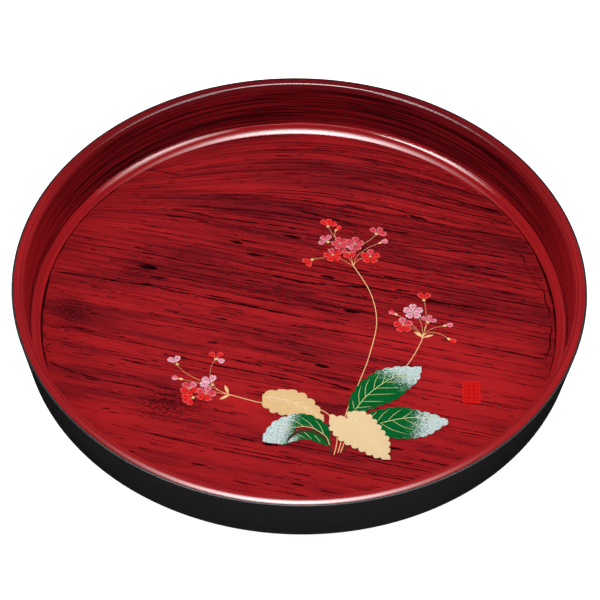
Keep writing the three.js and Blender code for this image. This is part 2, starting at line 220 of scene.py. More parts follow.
class Shader:
    """A Principled material with short calls for the nodes that feed it."""

    def __init__(self, name, **values):
        self.material = bpy.data.materials.new(name)
        self.material.use_nodes = True
        self.tree = self.material.node_tree
        self.principled = self.tree.nodes["Principled BSDF"]
        for key, value in values.items():
            self.principled.inputs[key.replace("_", " ")].default_value = value

    def node(self, kind, inputs=None, **settings):
        made = self.tree.nodes.new(kind)
        for key, value in settings.items():
            setattr(made, key, value)
        for key, value in (inputs or {}).items():
            self.put(made.inputs[key], value)
        return made

    def put(self, socket, value):
        if isinstance(value, bpy.types.NodeSocket):
            self.tree.links.new(value, socket)
        else:
            socket.default_value = value

    def math(self, operation, a, b):
        return self.node("ShaderNodeMath", {0: a, 1: b}, operation=operation).outputs[0]

    def times(self, a, b):
        return self.math("MULTIPLY", a, b)

    def plus(self, a, b):
        return self.math("ADD", a, b)

    def vector(self, operation, a, b):
        return self.node("ShaderNodeVectorMath", {0: a, 1: b}, operation=operation).outputs[0]

    def attribute(self, name, output="Fac"):
        return self.node("ShaderNodeAttribute", attribute_name=name).outputs[output]

    def place(self):
        return self.node("ShaderNodeTexCoord").outputs["Object"]

    def stretched(self, vector, x, y, z, shift=0.0):
        scaled = self.vector("MULTIPLY", vector, (x, y, z))
        return self.vector("ADD", scaled, (shift, shift * 1.7, shift * 0.6))

    def noise(self, vector, scale=1.0, detail=2.0, roughness=0.5, distortion=0.0):
        inputs = {"Vector": vector, "Scale": scale, "Detail": detail}
        inputs.update({"Roughness": roughness, "Distortion": distortion})
        return self.node("ShaderNodeTexNoise", inputs).outputs["Fac"]

    def span(self, value, low, high, out_low=0.0, out_high=1.0):
        inputs = {0: value, 1: low, 2: high, 3: out_low, 4: out_high}
        return self.node("ShaderNodeMapRange", inputs, interpolation_type="SMOOTHSTEP").outputs[0]

    def mix(self, share, a, b):
        made = self.node("ShaderNodeMix", data_type="RGBA")
        self.put(made.inputs[0], share)
        self.put(made.inputs[6], a)
        self.put(made.inputs[7], b)
        return made.outputs[2]

    def layer(self, colour, over, value, low, high, amount):
        """The colour with another one laid over it where the value rises from low to high."""
        return self.mix(self.times(self.span(value, low, high), amount), colour, over)

    def bump(self, height, strength):
        inputs = {"Height": height, "Strength": strength, "Distance": BUMP_DEPTH}
        return self.node("ShaderNodeBump", inputs).outputs[0]

    def feed(self, **sockets):
        for key, value in sockets.items():
            self.put(self.principled.inputs[key.replace("_", " ")], value)
        return self.material


def lacquer(name, roughness, coat, coat_roughness, specular=0.0):
    """A shader that gets most or all of its gloss from its clear coat."""
    s = Shader(name, Roughness=roughness, Coat_Weight=coat, Coat_Roughness=coat_roughness)
    s.feed(Specular_IOR_Level=specular)
    return s


# ---------------------------------------------------------------- colours
CLEAR_RED = linear(168, 31, 35)
BRIGHT_RED = linear(186, 34, 37)
DEEP_RED = linear(120, 23, 31)
WINE_RED = linear(80, 12, 20)
PALE_RED = linear(176, 44, 49)
RIB_DARK = linear(84, 10, 18)
STREAK_DARK = linear(56, 6, 12)
STREAK_BLACK = linear(26, 2, 5)
# The far wall's colours, darkened as painted shade; the cove's brushing uses them all round.
WALL_CLEAR = linear(138, 20, 28)
WALL_DARK = linear(44, 2, 6)
# The near wall's colours, the lit copy of the wall's red.
NEAR_WALL_LIT_CLEAR = linear(186, 30, 37)
NEAR_WALL_LIT_DARK = linear(126, 16, 24)
COVE_CLEAR = linear(176, 31, 36)
COVE_DEEP = linear(142, 24, 31)
LIP_CLEAR = linear(164, 32, 36)
LIP_DEEP = linear(138, 26, 31)
# The far lip's colours, darkened as painted shade.
FAR_LIP_SHADED_CLEAR = linear(112, 22, 27)
FAR_LIP_SHADED_DEEP = linear(88, 16, 22)
# A thin dark line along the lip's crest, painted shade standing in for a groove.
LIP_CREASE_SHADE = linear(70, 8, 13)
POOLED_DARK = linear(40, 2, 6)
POOLED_CLEAR = linear(84, 8, 14)
BLACK = linear(26, 24, 25)
BLACK_CLOUD = linear(21, 19, 20)
WOOD_LIGHT = linear(186, 148, 98)
WOOD_DARK = linear(146, 104, 60)
GREEN_DEEP = linear(2, 82, 34)
GREEN_CLEAR = linear(12, 104, 48)
SILVER_DULL = linear(136, 172, 162)
SILVER_BRIGHT = linear(216, 228, 230)
LEAF_EDGE_BROWN = linear(70, 44, 26)


# ---------------------------------------------------------------- lacquer materials

def floor_material():
    s = lacquer("brushed_red_lacquer", 0.45, 0.04, 0.06)
    grain, shade = s.attribute("grain", "Vector"), s.attribute("shade")

    def brushed(along, across, shift, detail, roughness):
        """A pattern drawn out along the brush, told apart from the others by its shift."""
        return s.noise(s.stretched(grain, along, across, 1, shift), detail=detail, roughness=roughness)

    def shaded(value, share):
        return s.plus(value, s.times(shade, share))

    tone = shaded(brushed(0.012, 0.09, 3.1, 4, 0.6), 0.12)
    colour = s.mix(s.span(tone, 0.40, 0.72), CLEAR_RED, DEEP_RED)
    bands = brushed(0.016, 0.42, 17.0, 4, 0.65)
    colour = s.layer(colour, WINE_RED, shaded(bands, 0.05), 0.50, 0.72, 0.6)
    fine = brushed(0.07, 1.5, 11.0, 3, 0.7)
    colour = s.layer(colour, WINE_RED, shaded(fine, 0.05), 0.52, 0.74, 0.6)
    ribs = brushed(0.011, 0.85, 29.0, 3, 0.6)
    colour = s.layer(colour, RIB_DARK, ribs, 0.49, 0.62, s.attribute("ribbed"))
    flecks = brushed(0.16, 1.1, 41.0, 3, 0.65)
    colour = s.layer(colour, STREAK_DARK, shaded(flecks, 0.06), 0.64, 0.74, 0.75)
    light = brushed(0.05, 1.7, 67.0, 2, 0.6)
    colour = s.layer(colour, PALE_RED, light, 0.58, 0.8, 0.5)
    smudge = s.attribute("smudge")
    mottle = s.plus(brushed(0.55, 0.9, 5.0, 4, 0.75), s.times(smudge, 0.16))
    colour = s.layer(colour, STREAK_DARK, mottle, 0.60, 0.72, s.times(smudge, 0.9))
    clear = s.times(s.span(s.times(shade, -1.0), 0.1, 0.9), 0.55)
    colour = s.mix(s.times(clear, s.span(tone, 0.7, 0.35)), colour, BRIGHT_RED)
    relief = s.plus(fine, s.times(bands, 0.6))
    return s.feed(Base_Color=colour, Coat_Normal=s.bump(relief, 0.05))


def brush_mark_material():
    s = lacquer("brush_mark_lacquer", 0.45, 0.04, 0.06)
    ink = s.attribute("ink")
    grain = s.noise(s.place(), scale=900, detail=2, roughness=0.6)
    level = s.plus(ink, s.times(s.math("SUBTRACT", grain, 0.5), 0.5))
    colour = s.mix(s.span(level, 0.1, 0.95), WINE_RED, STREAK_BLACK)
    return s.feed(Base_Color=colour)


def pooled_material():
    s = lacquer("pooled_dark_lacquer", 0.4, 0.1, 0.15)
    cloud = s.noise(s.place(), scale=240, detail=3, roughness=0.6)
    return s.feed(Base_Color=s.mix(s.span(cloud, 0.4, 0.7), POOLED_DARK, POOLED_CLEAR))


def ring_colour(s, clear, dark, streaks, contrast):
    """Streaks that follow the wall round the tray."""
    lap = s.node("ShaderNodeCombineXYZ", {2: s.attribute("lap")}).outputs[0]
    around = s.vector("ADD", s.stretched(s.place(), 14, 14, 0), s.stretched(lap, 0, 0, streaks))
    lines = s.noise(around, detail=3, roughness=0.6)
    return lines, s.layer(clear, dark, lines, 0.34, 0.62, contrast)


def wall_lacquer():
    """Dark streaks all round the wall, lighter on the near half and darker on the far half as painted shade.
    """
    s = lacquer("wall_red_lacquer", 0.4, 0.3, 0.3)
    lines, far = ring_colour(s, WALL_CLEAR, WALL_DARK, 1.1, 1.0)
    _, near = ring_colour(s, NEAR_WALL_LIT_CLEAR, NEAR_WALL_LIT_DARK, 1.1, 1.0)
    # Painted shade: the wall turns from its near colours to its darker far colours towards the far side.
    colour = s.mix(s.span(s.attribute("tone"), 0.45, 0.85), near, far)
    return s.feed(Base_Color=colour, Coat_Normal=s.bump(lines, 0.04))


def cove_lacquer():
    """Clear red, with the wall's dark brushing running out on its upper part."""
    s = lacquer("cove_red_lacquer", 0.4, 1.0, 0.07)
    lines, colour = ring_colour(s, COVE_CLEAR, COVE_DEEP, 0.5, 0.5)
    _, wall = ring_colour(s, WALL_CLEAR, WALL_DARK, 1.1, 1.0)
    ragged = s.times(s.math("SUBTRACT", lines, 0.5), 0.8)
    share = s.span(s.plus(s.attribute("brushed"), ragged), 0.35, 0.65)
    return s.feed(Base_Color=s.mix(share, colour, wall), Coat_Normal=s.bump(lines, 0.04))


def lip_lacquer():
    """The lip's red, painted darker on the far half as painted shade, with a thin dark line of painted shade
    along the crest at both sides.
    """
    s = lacquer("lip_red_lacquer", 0.4, 1.0, 0.07)
    lines, near = ring_colour(s, LIP_CLEAR, LIP_DEEP, 0.7, 0.7)
    _, far = ring_colour(s, FAR_LIP_SHADED_CLEAR, FAR_LIP_SHADED_DEEP, 0.7, 0.7)
    # Painted shade: the lip turns darker towards the far side of the tray.
    colour = s.mix(s.span(s.attribute("tone"), 0.5, 1.0), near, far)
    # Painted shade: the thin dark line along the crest.
    colour = s.mix(s.times(s.attribute("line"), 0.8), colour, LIP_CREASE_SHADE)
    return s.feed(Base_Color=colour, Coat_Normal=s.bump(lines, 0.04))


def black_material():
    s = lacquer("black_lacquer", 0.5, 0.25, 0.2, 0.25)
    specks = s.noise(s.place(), scale=900, detail=2, roughness=0.6)
    clouds = s.noise(s.place(), scale=18, detail=2, roughness=0.5)
    colour = s.mix(clouds, BLACK, BLACK_CLOUD)
    return s.feed(
        Base_Color=colour,
        Roughness=s.span(clouds, 0.3, 0.7, 0.42, 0.55),
        Coat_Normal=s.bump(specks, 0.12),
    )


def wood_material():
    s = Shader("core_wood", Roughness=0.7)
    grain = s.noise(s.stretched(s.place(), 20, 300, 20), detail=4, roughness=0.6, distortion=0.4)
    colour = s.mix(s.span(grain, 0.35, 0.65), WOOD_LIGHT, WOOD_DARK)
    return s.feed(Base_Color=colour, Normal=s.bump(grain, 0.2))


FLOOR_LACQUER = floor_material()
BRUSH_MARKS = brush_mark_material()
POOLED = pooled_material()
WALL_LACQUER = wall_lacquer()
COVE_LACQUER = cove_lacquer()
LIP_LACQUER = lip_lacquer()
BLACK_LACQUER = black_material()
CORE_WOOD = wood_material()


# ---------------------------------------------------------------- the turned body

EDGE_TOP = RIM_TOP - 0.72
EDGE_ROUND = 0.6
LIP_CREST_INNER = 145.1
LIP_CREST_OUTER = 146.0
LIP_OUTER_ROUND = 6.2
LIP_INNER_ROUND = 1.2
BAND_OUTER = 148.85
BAND_FOOT = 148.2
CREASE_SHADE_WIDTH = 0.2


def build_outer_coat():
    rounding_height = BASE_UNDERSIDE + BASE_ROUNDING
    edge_height = RIM_TOP - 1.4
    foot = rounding_height - BASE_ROUNDING * math.sin(OUTER_TAPER)
    rounding_radius = (
        RIM_RADIUS - (edge_height - foot) * math.tan(OUTER_TAPER) - BASE_ROUNDING * math.cos(OUTER_TAPER)
    )
    inner = rounding_radius + BASE_ROUNDING - COAT
    outline = [(0, BASE_UNDERSIDE), (60, BASE_UNDERSIDE), (110, BASE_UNDERSIDE)]
    outline += arc(rounding_radius, rounding_height, BASE_ROUNDING, -90, -math.degrees(OUTER_TAPER), 14)
    outline += arc(RIM_RADIUS - EDGE_ROUND, EDGE_TOP - EDGE_ROUND, EDGE_ROUND, 0, 90, 7)
    outline += [
        (BAND_OUTER + 0.14, EDGE_TOP),
        (BAND_OUTER + 0.08, EDGE_TOP - 0.35),
        (BAND_FOOT, BAND_UNDERSIDE),
        (inner, rounding_height),
        (rounding_radius, BASE_UNDERSIDE + COAT),
        (0, BASE_UNDERSIDE + COAT),
    ]
    return turned("outer_coat", outline, closed=False)


def build_lip():
    """The lip: an inner rounding towards the wall and a crowned outer slope towards the black edge."""
    outline = [(BAND_OUTER - 0.05, BAND_UNDERSIDE)]
    outline += arc(LIP_CREST_OUTER, RIM_TOP - LIP_OUTER_ROUND, LIP_OUTER_ROUND, 62.6, 90, 14)
    outline += [(LIP_CREST_INNER + step, RIM_TOP) for step in (0.6, 0.45, 0.3, 0.15)]
    outline += arc(LIP_CREST_INNER, RIM_TOP - LIP_INNER_ROUND, LIP_INNER_ROUND, 90, 168, 18)
    outline += [(WALL_HEAD + 0.02, BAND_UNDERSIDE)]
    obj = turned("lip_band", outline, closed=True, sharp_angle=50)
    add_far_side_shade(obj)
    # A thin dark line along the crest, painted shade for a groove, fading out towards the near and far sides.
    line = []
    for vertex, angle in zip(obj.data.vertices, bearings(obj)):
        gap = math.hypot(vertex.co.x, vertex.co.y) / MM - LIP_CREST_INNER - CREASE_SHADE_WIDTH
        strength = 1 - eased(abs(math.sin(angle)), 0.5, 0.9)
        line.append(math.exp(-((gap / CREASE_SHADE_WIDTH) ** 2)) * strength)
    add_value(obj, "line", line)
    return obj


def build_wall():
    outline = [
        (WALL_FOOT, COVE_TOP),
        (WALL_FOOT + COAT, COVE_TOP),
        (WALL_HEAD + COAT, BAND_UNDERSIDE),
        (WALL_HEAD, BAND_UNDERSIDE),
    ]
    steps = 12
    for i in range(1, steps):
        share = i / steps
        radius = WALL_HEAD + (WALL_FOOT - WALL_HEAD) * share
        outline.append((radius, BAND_UNDERSIDE + (COVE_TOP - BAND_UNDERSIDE) * share))
    obj = turned("inner_wall", outline, closed=True)
    add_far_side_shade(obj)
    return obj


COVE_START = 15
SEAM_ANGLE = 34.5
SEAM_SPREAD = 2.0
SEAM_DEPTH = 0.16
BRUSH_END = 29


def build_cove():
    inner = []
    first, last = math.radians(COVE_START), math.radians(90 - COVE_START)
    size = (WALL_FOOT - COVE_CENTRE) / (math.cos(first) - math.cos(last))
    for degrees in np.linspace(COVE_START, 90 - COVE_START, 61):
        angle = math.radians(degrees)
        groove = SEAM_DEPTH * math.exp(-(((degrees - SEAM_ANGLE) / SEAM_SPREAD) ** 2))
        radius = WALL_FOOT - size * (math.cos(first) - math.cos(angle)) + groove * math.cos(angle)
        height = COVE_TOP - size * (math.sin(angle) - math.sin(first)) - groove * math.sin(angle)
        inner.append((radius, height))
    outline = [
        (FLOOR_RADIUS + COVE_LEDGE, FLOOR_TOP - COVE_DIP),
        (FLOOR_RADIUS + COVE_LEDGE, COVE_BOTTOM),
        (WALL_FOOT + COAT - COVE_CHAMFER, COVE_BOTTOM),
        (WALL_FOOT + COAT, COVE_BOTTOM + COVE_CHAMFER),
        (WALL_FOOT + COAT, COVE_TOP),
    ]
    obj = turned("cove", outline + inner, closed=True)
    brushed = []
    for vertex in obj.data.vertices:
        x, y, z = vertex.co / MM
        around = math.atan2(y, x)
        bearing = math.degrees(around)
        slope = math.degrees(math.atan2(COVE_TOP - z, math.hypot(x, y) - COVE_CENTRE))
        border = BRUSH_END + 2.2 * math.sin(7 * around + 1) * math.sin(3 * around)
        border += 1.2 * math.sin(23 * around)
        border -= 9 * eased(bearing, 55, 62) * (1 - eased(bearing, 90, 96))
        brushed.append(1 - eased(slope, border - 3, border + 2))
    add_value(obj, "brushed", brushed)
    return obj


def build_foot():
    inner, outer = FOOT_OUTER - 7.4, FOOT_OUTER - 1.6
    outline = [(inner, 0)] + arc(outer, FOOT_ROUND, FOOT_ROUND, -90, 0, 4)
    outline += [(FOOT_OUTER - 0.4, BASE_UNDERSIDE), (FOOT_OUTER - 9, BASE_UNDERSIDE)]
    outline += arc(inner, FOOT_ROUND, FOOT_ROUND, 180, 270, 4)[:-1]
    return turned("foot", outline, closed=True)


# The direction of the brush on the floor: a value that stays the same along each brushed line.

def eased(value, low, high):
    share = np.clip((value - low) / (high - low), 0, 1)
    return share * share * (3 - 2 * share)


def brush_lines(x, y):
    slope = 0.22 - 0.21 * eased(y, 60, 112)
    bend = 0.0029 * eased(y, 60, 115)
    return y + slope * x + bend * x * x


# Darker and clearer areas of the floor: place, half sizes along and across the brush, strength.
SHADES = [
    (-78, -75, 30, 10, 0.35),
    (-5, -16, 50, 10, 0.4),
    (122, -15, 18, 14, -0.5),
    (90, -80, 30, 14, -0.4),
    (0, -108, 60, 10, -0.4),
    (10, 68, 70, 16, 1.0),
    (-60, 40, 34, 10, 0.8),
    (-10, 20, 60, 8, 0.45),
    (-64, -56, 18, 10, 1.2),
    (60, 20, 60, 12, 0.3),
    (-10, -20, 50, 14, 0.4),
    (-120, -5, 12, 20, 0.8),
    (-20, 110, 60, 6, 0.6),
    (0, -112, 40, 6, 0.3),
    (60, -30, 60, 24, -0.5),
    (95, -40, 34, 26, -0.6),
    (-90, -70, 26, 12, -0.8),
    (-100, 60, 26, 14, -0.5),
    (-30, -60, 20, 10, -0.7),
    (20, -20, 26, 12, -0.4),
]


# Mottled dark smudges: place and half sizes.
SMUDGES = [(-68, -62, 23, 15), (-120, 2, 14, 13), (-84, 30, 16, 9)]


def shade_at(x, y):
    across = brush_lines(x, y)
    shade = 0.0 * x
    for cx, cy, along_size, across_size, strength in SHADES:
        gap = across - brush_lines(cx, cy)
        shade = shade + strength * np.exp(-(((x - cx) / along_size) ** 2) - (gap / across_size) ** 2)
    return shade


def build_floor():
    outline = [(0, COVE_BOTTOM), (FLOOR_RADIUS, COVE_BOTTOM)]
    outline += [(FLOOR_RADIUS, FLOOR_TOP - FLOOR_CHAMFER), (FLOOR_RADIUS - FLOOR_CHAMFER, FLOOR_TOP)]
    outline += [(FLOOR_RADIUS * (1 - i / 40), FLOOR_TOP) for i in range(1, 41)]
    obj = turned("floor", outline, closed=False, segments=192)
    places = np.array([v.co for v in obj.data.vertices]) / MM
    x, y = places[:, 0], places[:, 1]
    across = brush_lines(x, y)
    add_vector(obj, "grain", np.stack([x, across, np.zeros_like(x)], 1))
    add_value(obj, "shade", shade_at(x, y))
    add_value(obj, "ribbed", 0.12 + 0.5 * eased(y, -50, 50))
    smudge = np.zeros_like(x)
    for cx, cy, width, height in SMUDGES:
        smudge = smudge + np.exp(-(((x - cx) / width) ** 2) - ((y - cy) / height) ** 2)
    add_value(obj, "smudge", np.clip(smudge, 0, 1))
    return obj


for build, material, slot, node in (
    (build_outer_coat, BLACK_LACQUER, "black_lacquer", "outer_shell"),
    (build_foot, BLACK_LACQUER, "black_lacquer", "foot_ring"),
    (build_lip, LIP_LACQUER, "red_lacquer", "rim_band"),
    (build_wall, WALL_LACQUER, "red_lacquer", "wall_lining"),
    (build_cove, COVE_LACQUER, "red_lacquer", "corner_cove"),
    (build_floor, FLOOR_LACQUER, "brushed_red_lacquer", "floor_panel"),
):
    finish_piece(build(), material, slot, node)
for node in ("bottom_board", "side_hoop"):
    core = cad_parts[node]
    core.data.materials.clear()
    core.data.materials.append(CORE_WOOD)


# ---------------------------------------------------------------- raised painting: shapes

def inside(points, loops):
    """Which points lie inside the closed outlines, by the even-odd rule."""
    x, y = points[:, 0], points[:, 1]
    hit = np.zeros(len(points), bool)
    for loop in loops:
        for (x0, y0), (x1, y1) in zip(loop, np.roll(loop, -1, axis=0)):
            if y0 == y1:
                continue
            crosses = (y0 > y) != (y1 > y)
            hit ^= crosses & (x < x0 + (y - y0) * (x1 - x0) / (y1 - y0))
    return hit


def distance_to(points, loops):
    """Distance of each point to the nearest outline."""
    best = np.full(len(points), 1e9)
    for loop in loops:
        start, end = loop, np.roll(loop, -1, axis=0)
        step = end - start
        length = np.maximum((step**2).sum(1), 1e-12)
        for chunk in range(0, len(points), 400):
            some = points[chunk : chunk + 400]
            rel = some[:, None, :] - start[None]
            share = np.clip((rel * step[None]).sum(2) / length[None], 0, 1)
            gap = rel - share[..., None] * step[None]
            best[chunk : chunk + 400] = np.minimum(best[chunk : chunk + 400], np.sqrt((gap**2).sum(2)).min(1))
    return best


def top_outlines(node):
    """The outlines of a flat motif's upper face, in millimetres."""
    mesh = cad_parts[node].data
    places = [tuple(round(c / MM, 4) for c in v.co) for v in mesh.vertices]
    top = max(p[2] for p in places)
    onward = {}
    edges = set()
    for polygon in mesh.polygons:
        corners = [places[i] for i in polygon.vertices]
        if all(abs(c[2] - top) < 1e-3 for c in corners):
            edges |= {(a[:2], b[:2]) for a, b in zip(corners, corners[1:] + corners[:1])}
    for a, b in edges:
        if (b, a) not in edges:
            onward[a] = b
    loops = []
    while onward:
        first = next(iter(onward))
        loop, at = [], first
        while at in onward:
            loop.append(at)
            at = onward.pop(at)
        if len(loop) > 2:
            loops.append(np.array(loop))
    return loops


def cut_corners(loop, times):
    for _ in range(times):
        following = np.roll(loop, -1, axis=0)
        loop = np.stack([0.75 * loop + 0.25 * following, 0.25 * loop + 0.75 * following], 1).reshape(-1, 2)
    return loop


EDGE_SHARE = 0.3


def inward_of(loop):
    """Unit vectors that point inwards from each point of a closed outline."""
    return left_of(np.roll(loop, -1, axis=0) - np.roll(loop, 1, axis=0))


def relief_mesh(name, loops, low, high, rounding, spacing):
    """A low relief with soft edges over closed outlines. Returns the object and its plan points."""
    count = 0
    edges = []
    for loop in loops:
        edges += [(count + i, count + (i + 1) % len(loop)) for i in range(len(loop))]
        count += len(loop)
    outline = np.concatenate(loops)
    extra = []
    for loop in loops:
        for depth in (0.25 * rounding, 0.65 * rounding):
            offset = loop + inward_of(loop) * depth
            extra.append(offset[distance_to(offset, loops) > 0.85 * depth])
    low_corner, high_corner = outline.min(0), outline.max(0)
    xs = np.arange(low_corner[0], high_corner[0], spacing)
    ys = np.arange(low_corner[1], high_corner[1], spacing * 0.866)
    grid = np.stack(np.meshgrid(xs, ys), 2)
    grid[1::2, :, 0] += spacing / 2
    grid = grid.reshape(-1, 2)
    grid = grid[inside(grid, loops)]
    if len(grid):
        extra.append(grid[distance_to(grid, loops) > max(0.9 * rounding, spacing * 0.4)])
    extra = np.concatenate(extra)
    extra = extra[inside(extra, loops)] if len(extra) else extra
    points = np.concatenate([outline, extra])
    made = delaunay_2d_cdt([Vector(p) for p in points], edges, [], 0, 1e-5)
    plan = np.array([tuple(v) for v in made[0]])
    triangles = np.array(made[2])
    keep = inside(plan[triangles].mean(1), loops)
    triangles = triangles[keep]
    depth = distance_to(plan, loops)
    share = np.clip(depth / rounding, 0, 1)
    height = EDGE_SHARE + (1 - EDGE_SHARE) * np.sqrt(np.maximum(1 - (1 - share) ** 2, 0))
    tops = np.column_stack([plan, low + (high - low) * height])
    bases = np.column_stack([plan, np.full(len(plan), low)])
    n = len(plan)
    faces = [tuple(t) for t in triangles]
    flat = [tuple(int(i) + n for i in t[::-1]) for t in triangles]
    directed = {(t[i], t[(i + 1) % 3]) for t in faces for i in range(3)}
    skirt = [(b, a, a + n, b + n) for a, b in directed if (b, a) not in directed]
    faces = [tuple(int(i) for i in f) for f in faces + skirt] + flat
    obj = new_object(name, np.concatenate([tops, bases]).tolist(), faces, sharp_angle=55)
    both = np.concatenate([plan, plan])
    add_vector(obj, "plan", np.column_stack([both, np.zeros(2 * n)]))
    add_value(obj, "depth", np.concatenate([depth, depth]))
    return obj, both


def scalloped(loop, amount, reach=5):
    """Deepens the small waves of an outline and stays within its bounds."""
    mean = sum(np.roll(loop, shift, axis=0) for shift in range(-reach, reach + 1)) / (2 * reach + 1)
    sharper = loop + amount * (loop - mean)
    return np.clip(sharper, loop.min(0), loop.max(0))


def relief(node, rounding, spacing, rounds=0, inset=0.0, waves=0.0):
    """A motif's relief. Rounds smooths its outline, inset draws it in and waves deepens its teeth."""
    loops = [cut_corners(scalloped(loop, waves), rounds) for loop in top_outlines(node)]
    loops = [loop + inset * inward_of(loop) for loop in loops]
    return relief_mesh(node + "_paint", loops, bottom_of(node), top_of(node), rounding, spacing)


def smooth_path(points, per_span=6):
    """A round curve through the points."""
    points = np.array(points, float)
    padded = np.vstack([2 * points[0] - points[1], points, 2 * points[-1] - points[-2]])
    path = []
    for a, b, c, d in zip(padded, padded[1:], padded[2:], padded[3:]):
        for t in np.arange(per_span) / per_span:
            place = 2 * b + (c - a) * t
            place = place + (2 * a - 5 * b + 4 * c - d) * t**2
            path.append(0.5 * (place + (3 * b - a - 3 * c + d) * t**3))
    path.append(points[-1])
    return np.array(path)


class Strokes:
    """Raised brush strokes gathered into one mesh."""

    SECTION = [(-1, 0.0), (-0.86, 0.62), (-0.45, 0.92), (0, 1.0), (0.45, 0.92), (0.86, 0.62), (1, 0.0)]

    def __init__(self):
        self.verts, self.faces = [], []

    def add(self, points, width, low, high, taper=(0.5, 0.2), swell=None, per_span=6):
        """A stroke along a curve. Its width follows the taper's shares at both ends, or the swell."""
        path = smooth_path(points, per_span)
        side = left_of(np.gradient(path, axis=0))
        share = np.linspace(0, 1, len(path))
        if swell is None:
            size = taper[0] + (1 - taper[0]) * np.clip(share / 0.18, 0, 1)
            size = size * (taper[1] + (1 - taper[1]) * np.clip((1 - share) / 0.45, 0, 1) ** 0.8)
        else:
            size = np.array([swell(s) for s in share])
        half = width / 2 * np.maximum(size, 0.04)
        first = len(self.verts)
        for at, across, reach in zip(path, side, half):
            rise = min(1.0, 0.35 + reach / (width / 2) * 0.65)
            for offset, height in self.SECTION:
                x, y = at + across * reach * offset
                self.verts.append((x, y, low + (high - low) * height * rise))
        n = len(self.SECTION)
        for i in range(len(path) - 1):
            a, b = first + i * n, first + (i + 1) * n
            for j in range(n - 1):
                self.faces.append((a + j + 1, a + j, b + j, b + j + 1))
            self.faces.append((a, a + n - 1, b + n - 1, b))
        last = first + (len(path) - 1) * n
        self.faces.append(tuple(first + j for j in range(n)))
        self.faces.append(tuple(last + j for j in range(n))[::-1])

    def build(self, name):
        return new_object(name, self.verts, self.faces, sharp_angle=70)


# ---------------------------------------------------------------- dark brush marks on the floor

def brush_slope(x, y):
    step = 0.01
    along = (brush_lines(x + step, y) - brush_lines(x - step, y)) / (2 * step)
    across = (brush_lines(x, y + step) - brush_lines(x, y - step)) / (2 * step)
    return -along / across


STRIDE = 2.0


def brushed_path(x, y, length, wobble=0.0):
    """A path that starts at a place and follows the brush towards the right, with a random lean."""
    points = [(x, y)]
    travelled = 0.0
    lean = RANDOM.normal(0, wobble)
    while travelled < length:
        slope = brush_slope(x, y) + lean
        step = STRIDE / math.hypot(1, slope)
        x, y = x + step, y + step * slope
        points.append((x, y))
        travelled += STRIDE
    return points


def wander(count, smooth):
    """A smooth random line between about -1 and 1."""
    knots = RANDOM.uniform(-1, 1, int(count / smooth) + 4)
    return np.interp(np.arange(count) / smooth, np.arange(len(knots)), knots)


class BrushMarks:
    """Thin dark marks left by the bristles, with ragged edges and gaps."""

    STEP = 0.7
    NARROWEST = 0.04

    def __init__(self):
        self.verts, self.faces, self.ink = [], [], []

    def add(self, points, width, ink, gaps=0.3, ends=0.15):
        path = np.array(points, float)
        lengths = np.concatenate([[0], np.cumsum(np.linalg.norm(np.diff(path, axis=0), axis=1))])
        count = max(6, int(lengths[-1] / self.STEP))
        at = np.linspace(0, lengths[-1], count)
        path = np.column_stack([np.interp(at, lengths, path[:, 0]), np.interp(at, lengths, path[:, 1])])
        side = left_of(np.gradient(path, axis=0))
        share = np.linspace(0, 1, count)
        shape = np.clip(share / ends, 0, 1) ** 0.7 * np.clip((1 - share) / ends, 0, 1) ** 0.7
        body = shape * (1 + 0.5 * wander(count, 9)) - gaps * (1 + wander(count, 14))
        left = width / 2 * (body + 0.35 * wander(count, 2.2))
        right = width / 2 * (body + 0.35 * wander(count, 2.2))
        drift = width * 0.3 * wander(count, 12)
        height = FLOOR_TOP + 0.006 + 0.03 * RANDOM.random()
        strength = np.clip(ink * (0.75 + 0.35 * wander(count, 7)), 0, 1)
        reach = np.hypot(path[:, 0], path[:, 1]) < FLOOR_RADIUS - 1.2
        run = []
        for i in range(count):
            if left[i] + right[i] > 0.09 and reach[i]:
                run.append(i)
            if run and (i == count - 1 or run[-1] != i):
                self.ribbon(run, path, side, left, right, drift, height, strength)
                run = []

    def ribbon(self, run, path, side, left, right, drift, height, strength):
        if len(run) < 4:
            return
        first = len(self.verts)
        last = len(run) - 1
        for k, i in enumerate(run):
            pinch = 0.15 if k in (0, last) else 1.0
            middle = path[i] + side[i] * drift[i]
            a = middle + side[i] * max(left[i], self.NARROWEST) * pinch
            b = middle - side[i] * max(right[i], self.NARROWEST) * pinch
            m = (a + b) / 2
            self.verts += [(*a, height), (*b, height), (*m, FLOOR_TOP - 0.02)]
            self.ink += [strength[i]] * 3
        for k in range(last):
            a = first + 3 * k
            b = a + 3
            self.faces += [(a, a + 1, b + 1, b), (a + 1, a + 2, b + 2, b + 1), (a + 2, a, b, b + 2)]
        self.faces += [(first, first + 2, first + 1), tuple(first + 3 * last + j for j in (0, 1, 2))]


